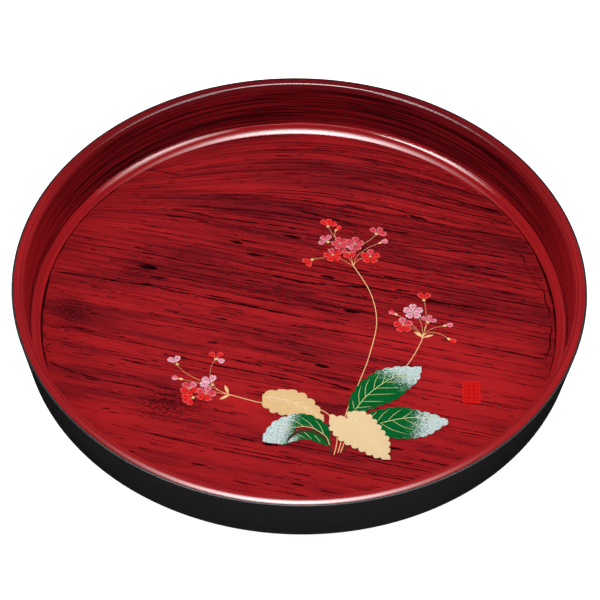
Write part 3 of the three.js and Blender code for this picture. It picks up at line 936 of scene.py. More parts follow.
# Long marks that stand out: points along the mark, width in millimetres, darkness, gaps.
LONG_MARKS = [
    ([(-131, 29), (-108, 25), (-82, 21), (-56, 14.5), (-30, 8.5), (5, 0)], 1.1, 1.0, 0.15),
    ([(-100, 25.5), (-82, 22.5), (-56, 16.6), (-34, 11.6)], 0.7, 0.8, 0.2),
    ([(-72, 77), (-58, 74), (-45, 71), (-20, 67), (5, 63)], 0.95, 1.0, 0.1),
    ([(-74, 72.6), (-50, 68.4), (-25, 64), (0, 60)], 0.8, 0.9, 0.15),
    ([(-125, 51), (-84, 44), (-58, 38), (-30, 33), (5, 25)], 0.8, 0.9, 0.2),
    ([(-30, 33), (-12, 29), (5, 25), (40, 22)], 1.0, 1.0, 0.15),
    ([(-72, -27), (-52, -32), (-30, -37), (-12, -41), (5, -45)], 0.9, 1.0, 0.15),
    ([(-100, -74), (-72, -82), (-46, -89), (-20, -95), (5, -100)], 0.7, 0.7, 0.3),
    ([(17, 86.7), (41, 83.5), (60, 76), (78, 68), (110, 62)], 0.7, 0.7, 0.3),
    ([(-5, 79), (12, 73.5), (30, 68), (60, 62)], 1.0, 0.9, 0.15),
    ([(47, 55), (68, 52), (89, 50), (118, 45)], 0.7, 0.8, 0.2),
    ([(-5, 26), (18, 24), (40, 22), (60, 17.5), (78, 12.7), (100, 9), (122, 5.4)], 0.85, 0.95, 0.15),
    ([(74, -12.7), (99, -18), (131, -25)], 0.8, 0.8, 0.2),
    ([(83.5, -55.4), (100, -57.4), (116, -59.6)], 0.6, 0.7, 0.2),
    ([(-5, -37), (12, -43), (29, -49)], 0.8, 0.9, 0.15),
    ([(-5, -5), (18, -8.5), (40, -12)], 0.8, 0.9, 0.2),
    ([(-87, 106), (-76, 104.3), (-66, 102)], 0.6, 0.8, 0.2),
    ([(-115, 40), (-92, 38), (-60, 31), (-20, 22), (10, 17)], 0.5, 0.6, 0.4),
    ([(-95, 62), (-70, 58), (-40, 52), (-10, 46)], 0.6, 0.7, 0.35),
    ([(-60, 88), (-30, 84), (0, 78), (30, 72)], 0.5, 0.6, 0.35),
    ([(40, 36), (70, 33), (100, 28), (128, 22)], 0.55, 0.7, 0.3),
    ([(-131, 10), (-100, 5), (-70, -2), (-40, -9)], 0.5, 0.7, 0.35),
]

# Short dark marks: place, length, width.
SHORT_MARKS = [
    ((-74, 72), 9, 1.6), ((-57, 68.5), 9, 1.5), ((-40, 54.5), 10, 1.7), ((-87, 34.4), 12, 2.0),
    ((-81, 28), 11, 1.8), ((-44, -1), 8, 1.6), ((-49, -18), 8, 1.4), ((44, 31), 10, 1.6), ((50, 22), 10, 1.5),
    ((23, 6.4), 10, 1.9), ((10, 30.6), 10, 1.5), ((0, -24), 9, 1.6), ((8, -32), 9, 1.5),
    ((-54, -100), 10, 1.3), ((-3, -111.7), 10, 1.3), ((45, -86), 12, 1.3), ((-18, -85.7), 9, 2.0),
    ((-30, 46), 14, 1.6), ((-12, 60), 14, 1.5), ((58, 76), 12, 1.4), ((30, 50), 10, 1.3),
]

# Marks that turn back beside the wall: bearing in degrees, hook radius, length.
HOOKS = ((187, 3, 40), (191, 3, 2), (183, 2, 12))

# Ragged borders: first and last bearing, gap to the wall at each, swing.
BORDERS = ((27, 1, 10, 2, 1.2), (0, -14, 3, 2.5, 1.0))

# Random marks: how many, ranges of length, width and darkness, added likelihood on the far half, gaps.
RANDOM_MARKS = (
    (260, (50, 190), (0.3, 0.6), (0.4, 0.9), 0.35, 0.35),
    (360, (4, 16), (0.28, 0.66), (0.3, 0.95), -0.12, 0.12),
    (460, (1.5, 6), (0.3, 0.6), (0.3, 0.9), -0.12, 0.12),
)


def hooked_path(bearing, gap, radius, length):
    """A mark that turns back in a round hook beside the wall, then follows the brush."""
    x, y = polar(FLOOR_RADIUS - gap - radius, math.radians(bearing))
    hook = arc(x, y, radius, 60, 265, 13)
    return hook + brushed_path(*hook[-1], length)[1:]


def settling_path(x, y, length, rise, settling):
    """A mark that comes down from the wall and settles into the brush lines."""
    return [(px, py + rise * math.exp((x - px) / settling)) for px, py in brushed_path(x, y, length)]


def ragged_border(start, end, wide, narrow, swing):
    """A wavy line a little way off the wall, from one bearing to another, closing in on the wall."""
    points = []
    for share in np.linspace(0, 1, 110):
        bearing = math.radians(start + (end - start) * share)
        gap = wide + (narrow - wide) * share + swing * math.sin(46 * bearing) * math.cos(17 * bearing)
        points.append(polar(FLOOR_RADIUS - gap, bearing))
    return points


def build_brush_marks():
    marks = BrushMarks()
    for points, width, ink, gaps in LONG_MARKS:
        marks.add(smooth_path(points, 8), width, ink, gaps, ends=0.05)
    marks.add(settling_path(-130, -40, 60, 6, 12), 0.9, 1.0, 0.05, ends=0.05)
    for bearing, radius, length in HOOKS:
        marks.add(hooked_path(bearing, 1.5, radius, length), 0.5, 0.9, 0.05, ends=0.1)
    for border in BORDERS:
        marks.add(ragged_border(*border), 0.55, 1.0, 0.1, ends=0.1)
    for (x, y), length, width in SHORT_MARKS:
        marks.add(brushed_path(x, y, length), width, 1.0, 0.05, ends=0.35)
    for amount, lengths, widths, inks, far_share, gaps in RANDOM_MARKS:
        made = 0
        while made < amount:
            x, y = RANDOM.uniform(-FLOOR_RADIUS, FLOOR_RADIUS, 2)
            if math.hypot(x, y) > FLOOR_RADIUS - 3:
                continue
            likely = 0.45 + 0.45 * shade_at(x, y) + far_share * eased(y, 0, 50)
            if RANDOM.random() > likely:
                continue
            length, width, ink = [RANDOM.uniform(*limits) for limits in (lengths, widths, inks)]
            marks.add(brushed_path(x, y, length, 0.008), width, ink, gaps, ends=0.2)
            made += 1
    obj = new_object("brush_marks", marks.verts, marks.faces, smooth=False)
    add_value(obj, "ink", marks.ink)
    finish_piece(obj, BRUSH_MARKS, "brushed_red_lacquer", "floor_panel")


build_brush_marks()


# ---------------------------------------------------------------- lacquer pooled where floor and cove meet

def build_pooled_line():
    """Two dark arcs along the joint, thick in the middle and ragged towards the floor."""
    verts, faces = [], []
    for start, end, thick in ((-17, 45, 12), (133, 198, 180)):
        steps = (end - start) * 4
        first = len(verts)
        swell = wander(steps + 1, 9)
        for i in range(steps + 1):
            degrees = start + (end - start) * i / steps
            angle = math.radians(degrees)
            fade = min(1, (degrees - start) / 4, (end - degrees) / 4)
            width = fade * (0.6 + 0.7 * math.exp(-(((degrees - thick) / 12) ** 2)) + 0.45 * swell[i])
            width = max(width, 0.03)
            section = ((0.55, 0.0), (0.35, 0.07), (-width * 0.5, 0.09), (-width, 0.0))
            for offset, rise in section:
                radius = COVE_CENTRE + offset
                height = FLOOR_TOP - 0.02 + rise * max(fade, 0.05)
                verts.append((*polar(radius, angle), height))
        for i in range(steps):
            a, b = first + 4 * i, first + 4 * i + 4
            for j in range(4):
                k = (j + 1) % 4
                faces.append((a + j, b + j, b + k, a + k))
        faces.append(tuple(first + j for j in (0, 1, 2, 3)))
        faces.append(tuple(first + 4 * steps + j for j in (3, 2, 1, 0)))
    obj = new_object("pooled_lacquer", verts, faces, sharp_angle=60)
    finish_piece(obj, POOLED, "brushed_red_lacquer", "floor_panel")


build_pooled_line()


# ---------------------------------------------------------------- raised painting: materials

def paint_material(name, colour, dark, amount=0.35):
    s = lacquer(name, 0.5, 0.06, 0.12)
    grain = s.noise(s.place(), scale=700, detail=3, roughness=0.7)
    share = s.times(s.span(grain, 0.35, 0.7), amount)
    return s.feed(Base_Color=s.mix(share, colour, dark), Normal=s.bump(grain, 0.15))


def gold_leaf_material(name, light, dark):
    """Pale gold with a fine brushed grain that runs along the leaf."""
    s = lacquer(name, 0.55, 0.05, 0.15)
    along = s.attribute("along", "Vector")
    streaks = s.noise(s.stretched(along, 0.35, 3.4, 1), detail=3, roughness=0.65)
    grain = s.noise(s.place(), scale=1400, detail=2, roughness=0.7)
    share = s.plus(s.times(s.span(streaks, 0.35, 0.7), 0.5), s.times(grain, 0.3))
    return s.feed(Base_Color=s.mix(share, light, dark), Normal=s.bump(grain, 0.15))


def green_leaf_material():
    """Green at the foot, dusted with silver towards the tip."""
    s = lacquer("green_leaf_paint", 0.5, 0.06, 0.12)
    place = s.place()
    cloud = s.noise(place, scale=160, detail=2)
    green = s.mix(cloud, GREEN_DEEP, GREEN_CLEAR)
    dust = s.noise(place, scale=2300, detail=1, roughness=0.6)
    cover = s.noise(s.vector("ADD", place, (0.3, 0.1, 0.2)), scale=1900, detail=2, roughness=0.7)
    silver = s.attribute("silver")
    grey = s.mix(s.span(dust, 0.36, 0.56), SILVER_DULL, SILVER_BRIGHT)
    level = s.plus(cover, s.times(silver, 0.46))
    dusted = s.mix(s.span(level, 0.66, 0.76), green, grey)
    brown = s.attribute("brown")
    return s.feed(Base_Color=s.mix(brown, dusted, LEAF_EDGE_BROWN), Normal=s.bump(dust, 0.1))


def seal_material():
    """Bright red raised pattern on a slightly deeper red ground."""
    s = lacquer("seal_red_paint", 0.5, 0.05, 0.12)
    grain = s.noise(s.place(), scale=900, detail=3, roughness=0.7)
    raised = s.mix(s.span(grain, 0.35, 0.7), linear(226, 30, 26), linear(204, 20, 20))
    ground = s.mix(s.span(grain, 0.35, 0.7), linear(196, 22, 24), linear(172, 20, 24))
    return s.feed(Base_Color=s.mix(s.attribute("ground"), raised, ground))


def petal_material(name):
    s = lacquer(name, 0.5, 0.06, 0.1)
    tint = s.attribute("tint", "Color")
    grain = s.noise(s.place(), scale=1300, detail=2, roughness=0.6)
    darker = s.vector("MULTIPLY", tint, (0.72, 0.62, 0.66))
    colour = s.mix(s.span(grain, 0.4, 0.75, 0.0, 0.6), tint, darker)
    return s.feed(Base_Color=colour, Normal=s.bump(grain, 0.1))


STEM_GOLD = paint_material("stem_gold_paint", linear(250, 202, 148), linear(226, 168, 110))
BRACT_GOLD = paint_material("bract_gold_paint", linear(236, 206, 142), linear(204, 164, 96))
VEIN_GOLD = paint_material("vein_gold_paint", linear(228, 228, 160), linear(206, 204, 128), amount=0.3)
FAINT_GOLD = paint_material("faint_vein_gold_paint", linear(242, 218, 178), linear(232, 202, 158), amount=0.4)
LEAF_GOLD_LEFT = gold_leaf_material("left_leaf_gold_paint", linear(232, 196, 144), linear(212, 170, 116))
LEAF_GOLD_RIGHT = gold_leaf_material("right_leaf_gold_paint", linear(238, 212, 168), linear(222, 188, 140))
GREEN_LEAF = green_leaf_material()
FOLD_BROWN = paint_material("fold_brown_paint", linear(72, 52, 30), linear(52, 30, 18))
STALK_GREEN = paint_material("leaf_stalk_paint", linear(58, 62, 30), linear(70, 34, 20))
SEAL_RED = seal_material()
PETAL = {
    slot: petal_material(slot + "_petal")
    for slot in ("red_paint", "rose_paint", "pink_paint", "pale_pink_paint")
}


# ---------------------------------------------------------------- leaves and stems

LEAVES = {
    # node: foot, tip near the edge of the piece's box, start and end of the silver as shares, its lean
    "green_leaf_upper": ((30, -63), (64.6, -32.1), 0.52, 0.92, 0.25),
    "green_leaf_right": ((40, -70), (78.2, -70), 0.42, 0.86, -0.1),
    "green_leaf_left": ((17.5, -84), (-17, -80), 0.50, 0.80, -0.15),
    "green_leaf_left_fold": ((17, -84), (-4.5, -86), 0.62, 1.0, 0.0),
}

MIDRIBS = {
    "green_leaf_upper": [
        (30.4, -62.7), (32.3, -59.1), (36.2, -53), (40.7, -48),
        (45.1, -43.8), (49.6, -40.5), (55.1, -37.2), (58.4, -35.2),
    ],
    "green_leaf_right": [
        (43.4, -71.3), (47.3, -69.7), (54.6, -67.7), (61.2, -66.9), (69.6, -67.2), (72.9, -67.4),
    ],
    "green_leaf_left": [
        (17.4, -87), (16.1, -82.5), (14.3, -79.9), (11.3, -77.5), (8.4, -75.7),
        (4, -74.9), (0.2, -75.5), (-2, -75.9), (-5.7, -77.5),
    ],
}

VEINS = {
    "green_leaf_upper": [
        [(32.3, -58.3), (32.1, -51.9), (33.4, -45.8)],
        [(35.4, -53.8), (35.6, -47.4), (37.6, -41.3)],
        [(39.8, -48.6), (40.7, -42.4), (43.4, -36.3)],
        [(44, -44.7), (46.8, -36.3)],
        [(49.3, -40.5), (50.9, -34.9)],
        [(29.6, -61.9), (28.9, -56.3)],
        [(31.2, -61.3), (39, -60.1)],
        [(34, -56.9), (45.1, -56.6)],
        [(37.1, -52.4), (51.2, -51.1)],
        [(41.2, -47.7), (54, -46.9)],
        [(46.8, -43.6), (56.8, -42.4)],
        [(51.8, -39.7), (58.4, -39.1)],
    ],
    "green_leaf_right": [
        [(39.3, -66.3), (41.5, -63.6)],
        [(42.1, -69.4), (44.6, -65.2), (47.9, -61.6)],
        [(47.3, -69.1), (50.5, -65), (54.6, -61.3)],
        [(54.6, -67.4), (59.8, -63)],
        [(61.5, -66.6), (65.4, -63.6)],
        [(67.3, -66.9), (70.1, -64.9)],
        [(43.7, -71.6), (49.6, -75.5), (57.1, -78)],
        [(49.6, -69.4), (55.1, -73.3), (62.9, -75.8)],
        [(55.9, -68.3), (60.5, -71), (65.7, -72.7)],
        [(62.3, -67.4), (68.7, -70.2)],
    ],
    "green_leaf_left": [
        [(14.3, -79.2), (12.4, -74.4), (9.5, -69.9)],
        [(9.1, -75.9), (6.5, -72.1), (1.3, -67.7)],
        [(3.9, -74.9), (0.2, -71.8), (-5.7, -69.6)],
        [(-2, -75.7), (-9.4, -73.3)],
        [(-4.2, -77), (-7.2, -78.4)],
    ],
    "green_leaf_left_fold": [
        [(9.5, -80.3), (12.8, -84.7)],
        [(4.3, -78.6), (8.2, -82.7)],
        [(1.3, -80.3), (4.7, -82.1)],
        [(0, -82), (1.7, -82.9)],
    ],
}

VEIN_RISE = 0.06
STROKE_SINK = 0.05


def along_and_across(places, start, ahead):
    """How far places lie ahead of a start and to the left of it, for a unit vector ahead."""
    return (places - start) @ ahead, (places - start) @ np.array([-ahead[1], ahead[0]])


def build_green_leaf(node):
    foot, tip, start, end, lean = LEAVES[node]
    obj, plan = relief(node, rounding=0.7, spacing=0.9, waves=0.7)
    axis = np.array(tip) - np.array(foot)
    length = np.linalg.norm(axis)
    along, across = (part / length for part in along_and_across(plan, np.array(foot), axis / length))
    silver = (along + lean * across - start) / (end - start)
    add_value(obj, "silver", np.clip(silver, -0.5, 1.2))
    brown = np.zeros(len(plan))
    if node == "green_leaf_left_fold":
        ridge = smooth_path([(-5, -85), (-2.5, -80.6), (2, -77.6), (8, -77.4), (13, -80), (16.4, -84.5)])
        gap = distance_to(plan, [np.vstack([ridge, ridge[::-1]])])
        brown = np.clip(1.2 - gap / 1.3, 0, 0.85)
    add_value(obj, "brown", brown)
    slot = "dark_green_paint" if node == "green_leaf_left_fold" else "green_paint"
    finish_piece(obj, GREEN_LEAF, slot, node)
    strokes = Strokes()
    top = top_of(node)
    for vein in VEINS[node]:
        strokes.add(vein, 0.28, top - STROKE_SINK, top + VEIN_RISE, taper=(0.8, 0.25))
    if node in MIDRIBS:
        strokes.add(MIDRIBS[node], 0.4, top - STROKE_SINK, top + VEIN_RISE + 0.02, taper=(0.9, 0.3))
    finish_piece(strokes.build(node + "_veins"), VEIN_GOLD, "gold_paint", node)


for node in LEAVES:
    build_green_leaf(node)

fold_line = Strokes()
fold_line.add(
    [
        (-5.2, -86), (-3.4, -82.6), (-0.6, -79.6), (2.6, -77.9),
        (8, -77.2), (12.6, -79.4), (15.6, -83.4), (17, -86.6),
    ],
    1.7,
    top_of("green_leaf_left") - 0.2,
    top_of("green_leaf_left") + 0.04,
    swell=lambda t: 0.4 + 0.6 * math.sin(math.pi * min(1, t * 1.1)) ** 0.7,
)
finish_piece(fold_line.build("fold_line"), FOLD_BROWN, "dark_green_paint", "green_leaf_left_fold")

GOLD_LEAVES = {
    # node: midrib, material, vein count, vein length, vein angle in degrees
    "gold_leaf_left": (
        [(-17.2, -55.5), (-8, -56.5), (2, -60.5), (9, -65.5), (13.8, -70.5)], LEAF_GOLD_LEFT, 7, 8.5, 38,
    ),
    "gold_leaf_right": (
        [(28, -64.5), (31.5, -71), (36.5, -79), (42, -87), (47.8, -94.6)], LEAF_GOLD_RIGHT, 8, 9.5, 42,
    ),
}


def build_gold_leaf(node):
    midrib, material, count, reach, angle = GOLD_LEAVES[node]
    obj, plan = relief(node, rounding=0.7, spacing=0.9, waves=1.3)
    start, end = np.array(midrib[0]), np.array(midrib[-1])
    axis = (end - start) / np.linalg.norm(end - start)
    add_vector(obj, "along", np.column_stack([*along_and_across(plan, start, axis), np.zeros(len(plan))]))
    finish_piece(obj, material, "gold_paint", node)
    loops = [cut_corners(loop, 1) for loop in top_outlines(node)]
    top = top_of(node)
    strokes = Strokes()
    path = smooth_path(midrib, 12)
    strokes.add(midrib, 0.5, top - STROKE_SINK, top + 0.04, taper=(0.6, 0.2))
    for side in (-1, 1):
        for k in range(count):
            i = int(len(path) * (0.06 + 0.84 * k / count))
            heading = path[min(i + 2, len(path) - 1)] - path[max(i - 2, 0)]
            heading = math.atan2(heading[1], heading[0]) + side * math.radians(angle)
            size = reach * (1 - 0.5 * (k / count) ** 2) * (0.75 if k == 0 else 1)
            vein = [path[i]]
            for step in range(1, 6):
                bend = heading - side * math.radians(4 * step)
                vein.append(vein[-1] + size / 5 * np.array(polar(1, bend)))
            vein = np.array(vein)
            room = inside(vein, loops) & (distance_to(vein, loops) > 0.9)
            vein = vein[: int(np.argmin(room)) if not room.all() else len(vein)]
            if len(vein) > 2:
                strokes.add(vein, 0.34, top - STROKE_SINK, top + 0.03, taper=(0.7, 0.2), per_span=3)
    finish_piece(strokes.build(node + "_veins"), FAINT_GOLD, "gold_paint", node)


for node in GOLD_LEAVES:
    build_gold_leaf(node)

for nodes, rounding, inset, paint in (
    (("stem_top", "stem_right", "stem_left"), 0.22, 0.155, STEM_GOLD),
    (("leaf_stalk_left", "leaf_stalk_right"), 0.3, 0.1, STALK_GREEN),
):
    for node in nodes:
        piece, _ = relief(node, rounding=rounding, spacing=0.5, rounds=2, inset=inset)
        finish_piece(piece, paint, "gold_paint", node)


# ---------------------------------------------------------------- blossoms

RED, ROSE, PINK, PALE = (234, 38, 40), (226, 70, 84), (228, 106, 126), (238, 164, 182)
SHADE = {RED: (206, 20, 26), ROSE: (196, 40, 58), PINK: (204, 72, 100), PALE: (206, 108, 136)}
LIGHT = {RED: (246, 96, 92), ROSE: (246, 136, 142), PINK: (250, 182, 194), PALE: (252, 226, 232)}
SLOTS = {RED: "red_paint", ROSE: "rose_paint", PINK: "pink_paint", PALE: "pale_pink_paint"}


def alike(colour, *angles):
    """Petals of one colour."""
    return [(angle, colour) for angle in angles]


def five(first, *colours):
    """Five petals a fifth of a turn apart, from the first one's angle."""
    return [(first + 72 * k, colour) for k, colour in enumerate(colours)]


# node: centre, reach, petals as (angle in degrees, colour). More than three petals show the blossom's eye.
BLOSSOMS = {
    "top_blossom_half_red": ((14.5, 66.4), 5.5, alike(RED, 25, 80, 130)),
    "top_blossom_half_pink_left": ((14.3, 55.2), 4.9, alike(PINK, 75, 135, 198)),
    "top_blossom_half_pink_right": ((41, 61.4), 5.5, alike(ROSE, 6, 64, 124)),
    "top_blossom_rose_left": ((21.2, 53.6), 4.8, five(-108, ROSE, ROSE, ROSE, ROSE, ROSE)),
    "top_blossom_rose_right": ((29.2, 53.4), 5.2, five(-132, PINK, ROSE, ROSE, ROSE, ROSE)),
    "top_blossom_red_middle": ((26.1, 47.4), 4.2, alike(RED, -120, -40) + alike(ROSE, 30, 165)),
    "top_blossom_red_left": ((17.5, 45), 5.1, alike(RED, -112, -40, 32) + [(104, ROSE), (180, RED)]),
    "top_blossom_red_right": ((37.6, 44.8), 5.3, five(-126, RED, RED, RED, ROSE, RED)),
    "top_blossom_opening_red": ((6, 41.4), 5.2, alike(RED, 190, 250)),
    "right_blossom_half_red": ((66.2, 14.7), 5.5, alike(RED, 57, 119)),
    "right_blossom_pale": ((60.4, 6.1), 5.4, five(-124, PALE, PALE, PALE, PALE, PALE)),
    "right_blossom_red": ((55.2, -3.9), 5.4, five(-119, RED, RED, ROSE, PINK, RED)),
    "right_blossom_half_pink": ((68.3, -0.8), 4.6, alike(PINK, 15, 75, 137)),
    "left_blossom_half_red": ((-42.7, -29.7), 5.1, [(-30, PALE), (50, RED), (130, RED)]),
    "left_blossom_half_pale": ((-63.6, -33.8), 5.3, alike(PALE, 78, 138)),
    "left_blossom_pale": ((-44.8, -47), 5.8, alike(PALE, 76, 138, 190)),
    "left_blossom_red": ((-55.8, -50.9), 5.1, five(-88, RED, RED, PINK, ROSE, RED)),
    "left_blossom_pink": ((-47.1, -54.3), 5.4, five(-140, RED, RED, ROSE, PINK, ROSE)),
    "left_blossom_half_red_low": ((-54.5, -57.1), 5.4, alike(RED, 165, 214, 260)),
}
FULL_BLOSSOMS = [node for node, (_, _, petals) in BLOSSOMS.items() if len(petals) > 3]

PETAL_ROWS, PETAL_COLUMNS = 15, 11


def petal_points(centre, reach, angle, half_angle, low, high):
    """One notched petal as rows of points from foot to end, with its shares along and across."""
    ahead = heading_of(angle)
    side = np.array([-ahead[1], ahead[0]])
    widest = 0.64 * reach * math.tan(math.radians(half_angle))
    points, shares = [], []
    for t in np.linspace(0.06, 1, PETAL_ROWS):
        if t < 0.72:
            half = widest * math.sin(math.pi / 2 * t / 0.72) ** 1.6
        else:
            half = widest * (1 - 0.5 * ((t - 0.72) / 0.28) ** 2.6)
        for s in np.linspace(-1, 1, PETAL_COLUMNS):
            forward = reach * (t - 0.2 * t**6 * math.exp(-((s / 0.3) ** 2)) - 0.05 * t**4 * s**4)
            place = np.array(centre) + ahead * forward + side * half * s
            fade = min(1.0, (1 - abs(s)) * 3.2, (1 - t) * 5 + 0.12, t * 4)
            rise = 0.25 + 0.75 * math.sqrt(max(1 - (1 - fade) ** 2, 0))
            rise -= 0.14 * math.exp(-((s / 0.12) ** 2)) * t
            points.append((*place, low + (high - low) * min(max(rise, 0.1), 1)))
            shares.append((t, s))
    return points, shares


def tones_of(colour):
    """A petal colour's own tone, its dark one and its light one."""
    return [np.array(linear(*tone)) for tone in (colour, SHADE[colour], LIGHT[colour])]


def petal_tints(colour, shares, light_side):
    body, dark, light = tones_of(colour)
    tints = []
    for t, s in shares:
        edge = eased(max(abs(s) * 0.96, t), 0.74, 0.98)
        vein = math.exp(-((s / 0.17) ** 2)) * eased(t, 0.2, 0.45) * (1 - eased(t, 0.72, 0.92))
        sheen = eased(s * light_side, 0.0, 0.8) * 0.5 + (1 - eased(t, 0.1, 0.4)) * 0.5
        tint = body + (light - body) * min(1, 0.75 * edge + 0.7 * sheen * (1 - vein))
        tint = tint + (dark - tint) * min(1, 0.8 * vein + 0.35 * (1 - edge) * eased(t, 0.35, 0.6))
        tints.append(tint)
    return tints


def build_blossom(node):
    centre, reach, petals = BLOSSOMS[node]
    low, high = bottom_of(node), top_of(node)
    half_angle = 30 if node in FULL_BLOSSOMS else 26
    verts, faces, tints = [], [], []
    for k, (angle, colour) in enumerate(petals):
        points, shares = petal_points(centre, reach, angle, half_angle, low, high)
        first = len(verts)
        count = len(points)
        verts += points + [(x, y, low) for x, y, _ in points]
        tints += 2 * petal_tints(colour, shares, 1 if k % 2 else -1)
        for i in range(PETAL_ROWS - 1):
            for j in range(PETAL_COLUMNS - 1):
                a = first + i * PETAL_COLUMNS + j
                b = a + PETAL_COLUMNS
                faces.append((a, b, b + 1, a + 1))
                faces.append((a + count, a + 1 + count, b + 1 + count, b + count))
        border = list(range(PETAL_COLUMNS))
        border += [i * PETAL_COLUMNS + PETAL_COLUMNS - 1 for i in range(1, PETAL_ROWS)]
        border += [(PETAL_ROWS - 1) * PETAL_COLUMNS + j for j in range(PETAL_COLUMNS - 2, -1, -1)]
        border += [i * PETAL_COLUMNS for i in range(PETAL_ROWS - 2, 0, -1)]
        for a, b in zip(border, border[1:] + border[:1]):
            faces.append((first + a, first + b, first + b + count, first + a + count))
    obj = new_object(node + "_petals", verts, faces, sharp_angle=60)
    add_colour(obj, "tint", tints)
    colours = [colour for _, colour in petals]
    main = max(set(colours), key=lambda c: (colours.count(c), -colours.index(c)))
    finish_piece(obj, PETAL[SLOTS[main]], SLOTS[main], node)


for node in BLOSSOMS:
    build_blossom(node)

# The eyes of the full blossoms: a short raised stroke towards each petal.
eyes = Strokes()
for node in FULL_BLOSSOMS:
    centre, _, petals = BLOSSOMS[node]
    top = top_of(node)
    for angle, _ in petals:
        ray = [np.array(centre) + heading_of(angle) * r for r in (0.1, 0.5, 1.1)]
        eyes.add(ray, 0.34, top - 0.15, top + 0.02)
finish_piece(eyes.build("blossom_eyes"), BRACT_GOLD, "gold_paint", *FULL_BLOSSOMS)

# Gold cups under the blossoms seen from the side: node, foot, direction in degrees.
CUPS = [
    ("top_blossom_half_red", (14.75, 65.3), 100),
    ("top_blossom_half_pink_left", (15.2, 54.0), 120),
    ("top_blossom_half_pink_right", (40.6, 60.6), 75),
    ("top_blossom_opening_red", (7.2, 41.9), 205),
    ("right_blossom_half_red", (66.2, 13.6), 90),
    ("right_blossom_half_pink", (68.0, -2.2), 80),
    ("left_blossom_half_red", (-43.2, -31.0), 60),
    ("left_blossom_half_pale", (-62.4, -35.2), 115),
    ("left_blossom_pale", (-43.4, -48.6), 125),
    ("left_blossom_half_red_low", (-52.8, -57.0), 190),
]


def cup_width(share):
    return 0.45 + 0.75 * math.sin(math.pi * min(share * 1.05, 1)) ** 0.8


cups = Strokes()
for node, foot, degrees in CUPS:
    top = top_of(node)
    for spread, size in ((0, 1.9), (-34, 1.5), (34, 1.5)):
        ahead = np.array(polar(1, math.radians(degrees) + math.radians(spread)))
        tips = [np.array(foot) + share * ahead * size for share in (0, 0.5, 1)]
        cups.add(tips, 0.62, top - 0.2, top + 0.04, swell=cup_width)
finish_piece(cups.build("blossom_cups"), BRACT_GOLD, "gold_paint", *[cup[0] for cup in CUPS])


# ---------------------------------------------------------------- buds and seal

BUDS = {
    "top_bud_red": (RED, 65), "top_bud_pink": (PINK, 12), "right_bud_pink_left": (ROSE, 160),
    "right_bud_pink_right": (PINK, 0), "right_bud_red": (RED, -35), "left_bud_pink": (PINK, 170),
}


BUD_SIZE = 1.8


def build_bud(node):
    colour, degrees = BUDS[node]
    obj, plan = relief(node, rounding=1.1, spacing=0.35, rounds=2)
    centre = (plan.min(0) + plan.max(0)) / 2
    along, across = (part / BUD_SIZE for part in along_and_across(plan, centre, heading_of(degrees)))
    body, dark, light = tones_of(colour)
    tints = []
    for t, s in zip(along, across):
        sheen = math.exp(-(((s - 0.35) / 0.22) ** 2)) * 0.8 + eased(math.hypot(t, s), 0.75, 1.0) * 0.5
        seam = math.exp(-(((s + 0.12) / 0.13) ** 2)) * (1 - eased(t, 0.3, 0.9))
        tint = body + (light - body) * min(1, sheen)
        tints.append(tint + (dark - tint) * 0.7 * seam)
    add_colour(obj, "tint", tints)
    finish_piece(obj, PETAL[SLOTS[colour]], SLOTS[colour], node)


for node in BUDS:
    build_bud(node)


def bar(x0, y0, x1, y1):
    return np.array([(x0, y0), (x1, y0), (x1, y1), (x0, y1)])


def diamond(x, y, half):
    return np.array([(x - half, y), (x, y - half), (x + half, y), (x, y + half)])


def build_seal():
    """A plain border round an even grid of small diamonds. It carries no writing."""
    low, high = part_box("seal_panel")
    x0, y0, z0 = (c / MM for c in low)
    x1, y1 = high.x / MM, high.y / MM
    line = 0.9
    parts = [bar(x0, y0, x1, y0 + line), bar(x0, y1 - line, x1, y1)]
    parts += [bar(x0, y0 + line, x0 + line, y1 - line), bar(x1 - line, y0 + line, x1, y1 - line)]
    columns, rows = 3, 5
    across, along = (x1 - x0 - 2 * line) / columns, (y1 - y0 - 2 * line) / rows
    for column in range(columns):
        for row in range(rows):
            x, y = x0 + line + across * (column + 0.5), y0 + line + along * (row + 0.5)
            parts.append(diamond(x, y, 1.0))
    verts, faces = [], []
    ground = bar(x0 + 0.2, y0 + 0.2, x1 - 0.2, y1 - 0.2)
    for loop, top in [(ground, z0 + 0.05)] + [(part, z0 + 0.1) for part in parts]:
        first = len(verts)
        verts += [(x, y, z0) for x, y in loop] + [(x, y, top) for x, y in loop]
        faces += [(first, first + 3, first + 2, first + 1), tuple(first + 4 + i for i in range(4))]
        faces += [(first + i, first + (i + 1) % 4, first + 4 + (i + 1) % 4, first + 4 + i) for i in range(4)]
    obj = new_object("seal_border_and_diamonds", verts, faces, smooth=False)
    add_value(obj, "ground", [1.0] * 8 + [0.0] * (len(verts) - 8))
    finish_piece(obj, SEAL_RED, "seal_red", "seal_panel")


build_seal()


# ---------------------------------------------------------------- camera

# The camera that was fitted to the tray's ellipses in the photograph. Lengths count in rim radii.
CAMERA_ELEVATION = math.radians(48.299)
CAMERA_ROLL = math.radians(1.367)
CAMERA_DISTANCE = 12.1033
CAMERA_AIM = (0.0031, -0.0947)


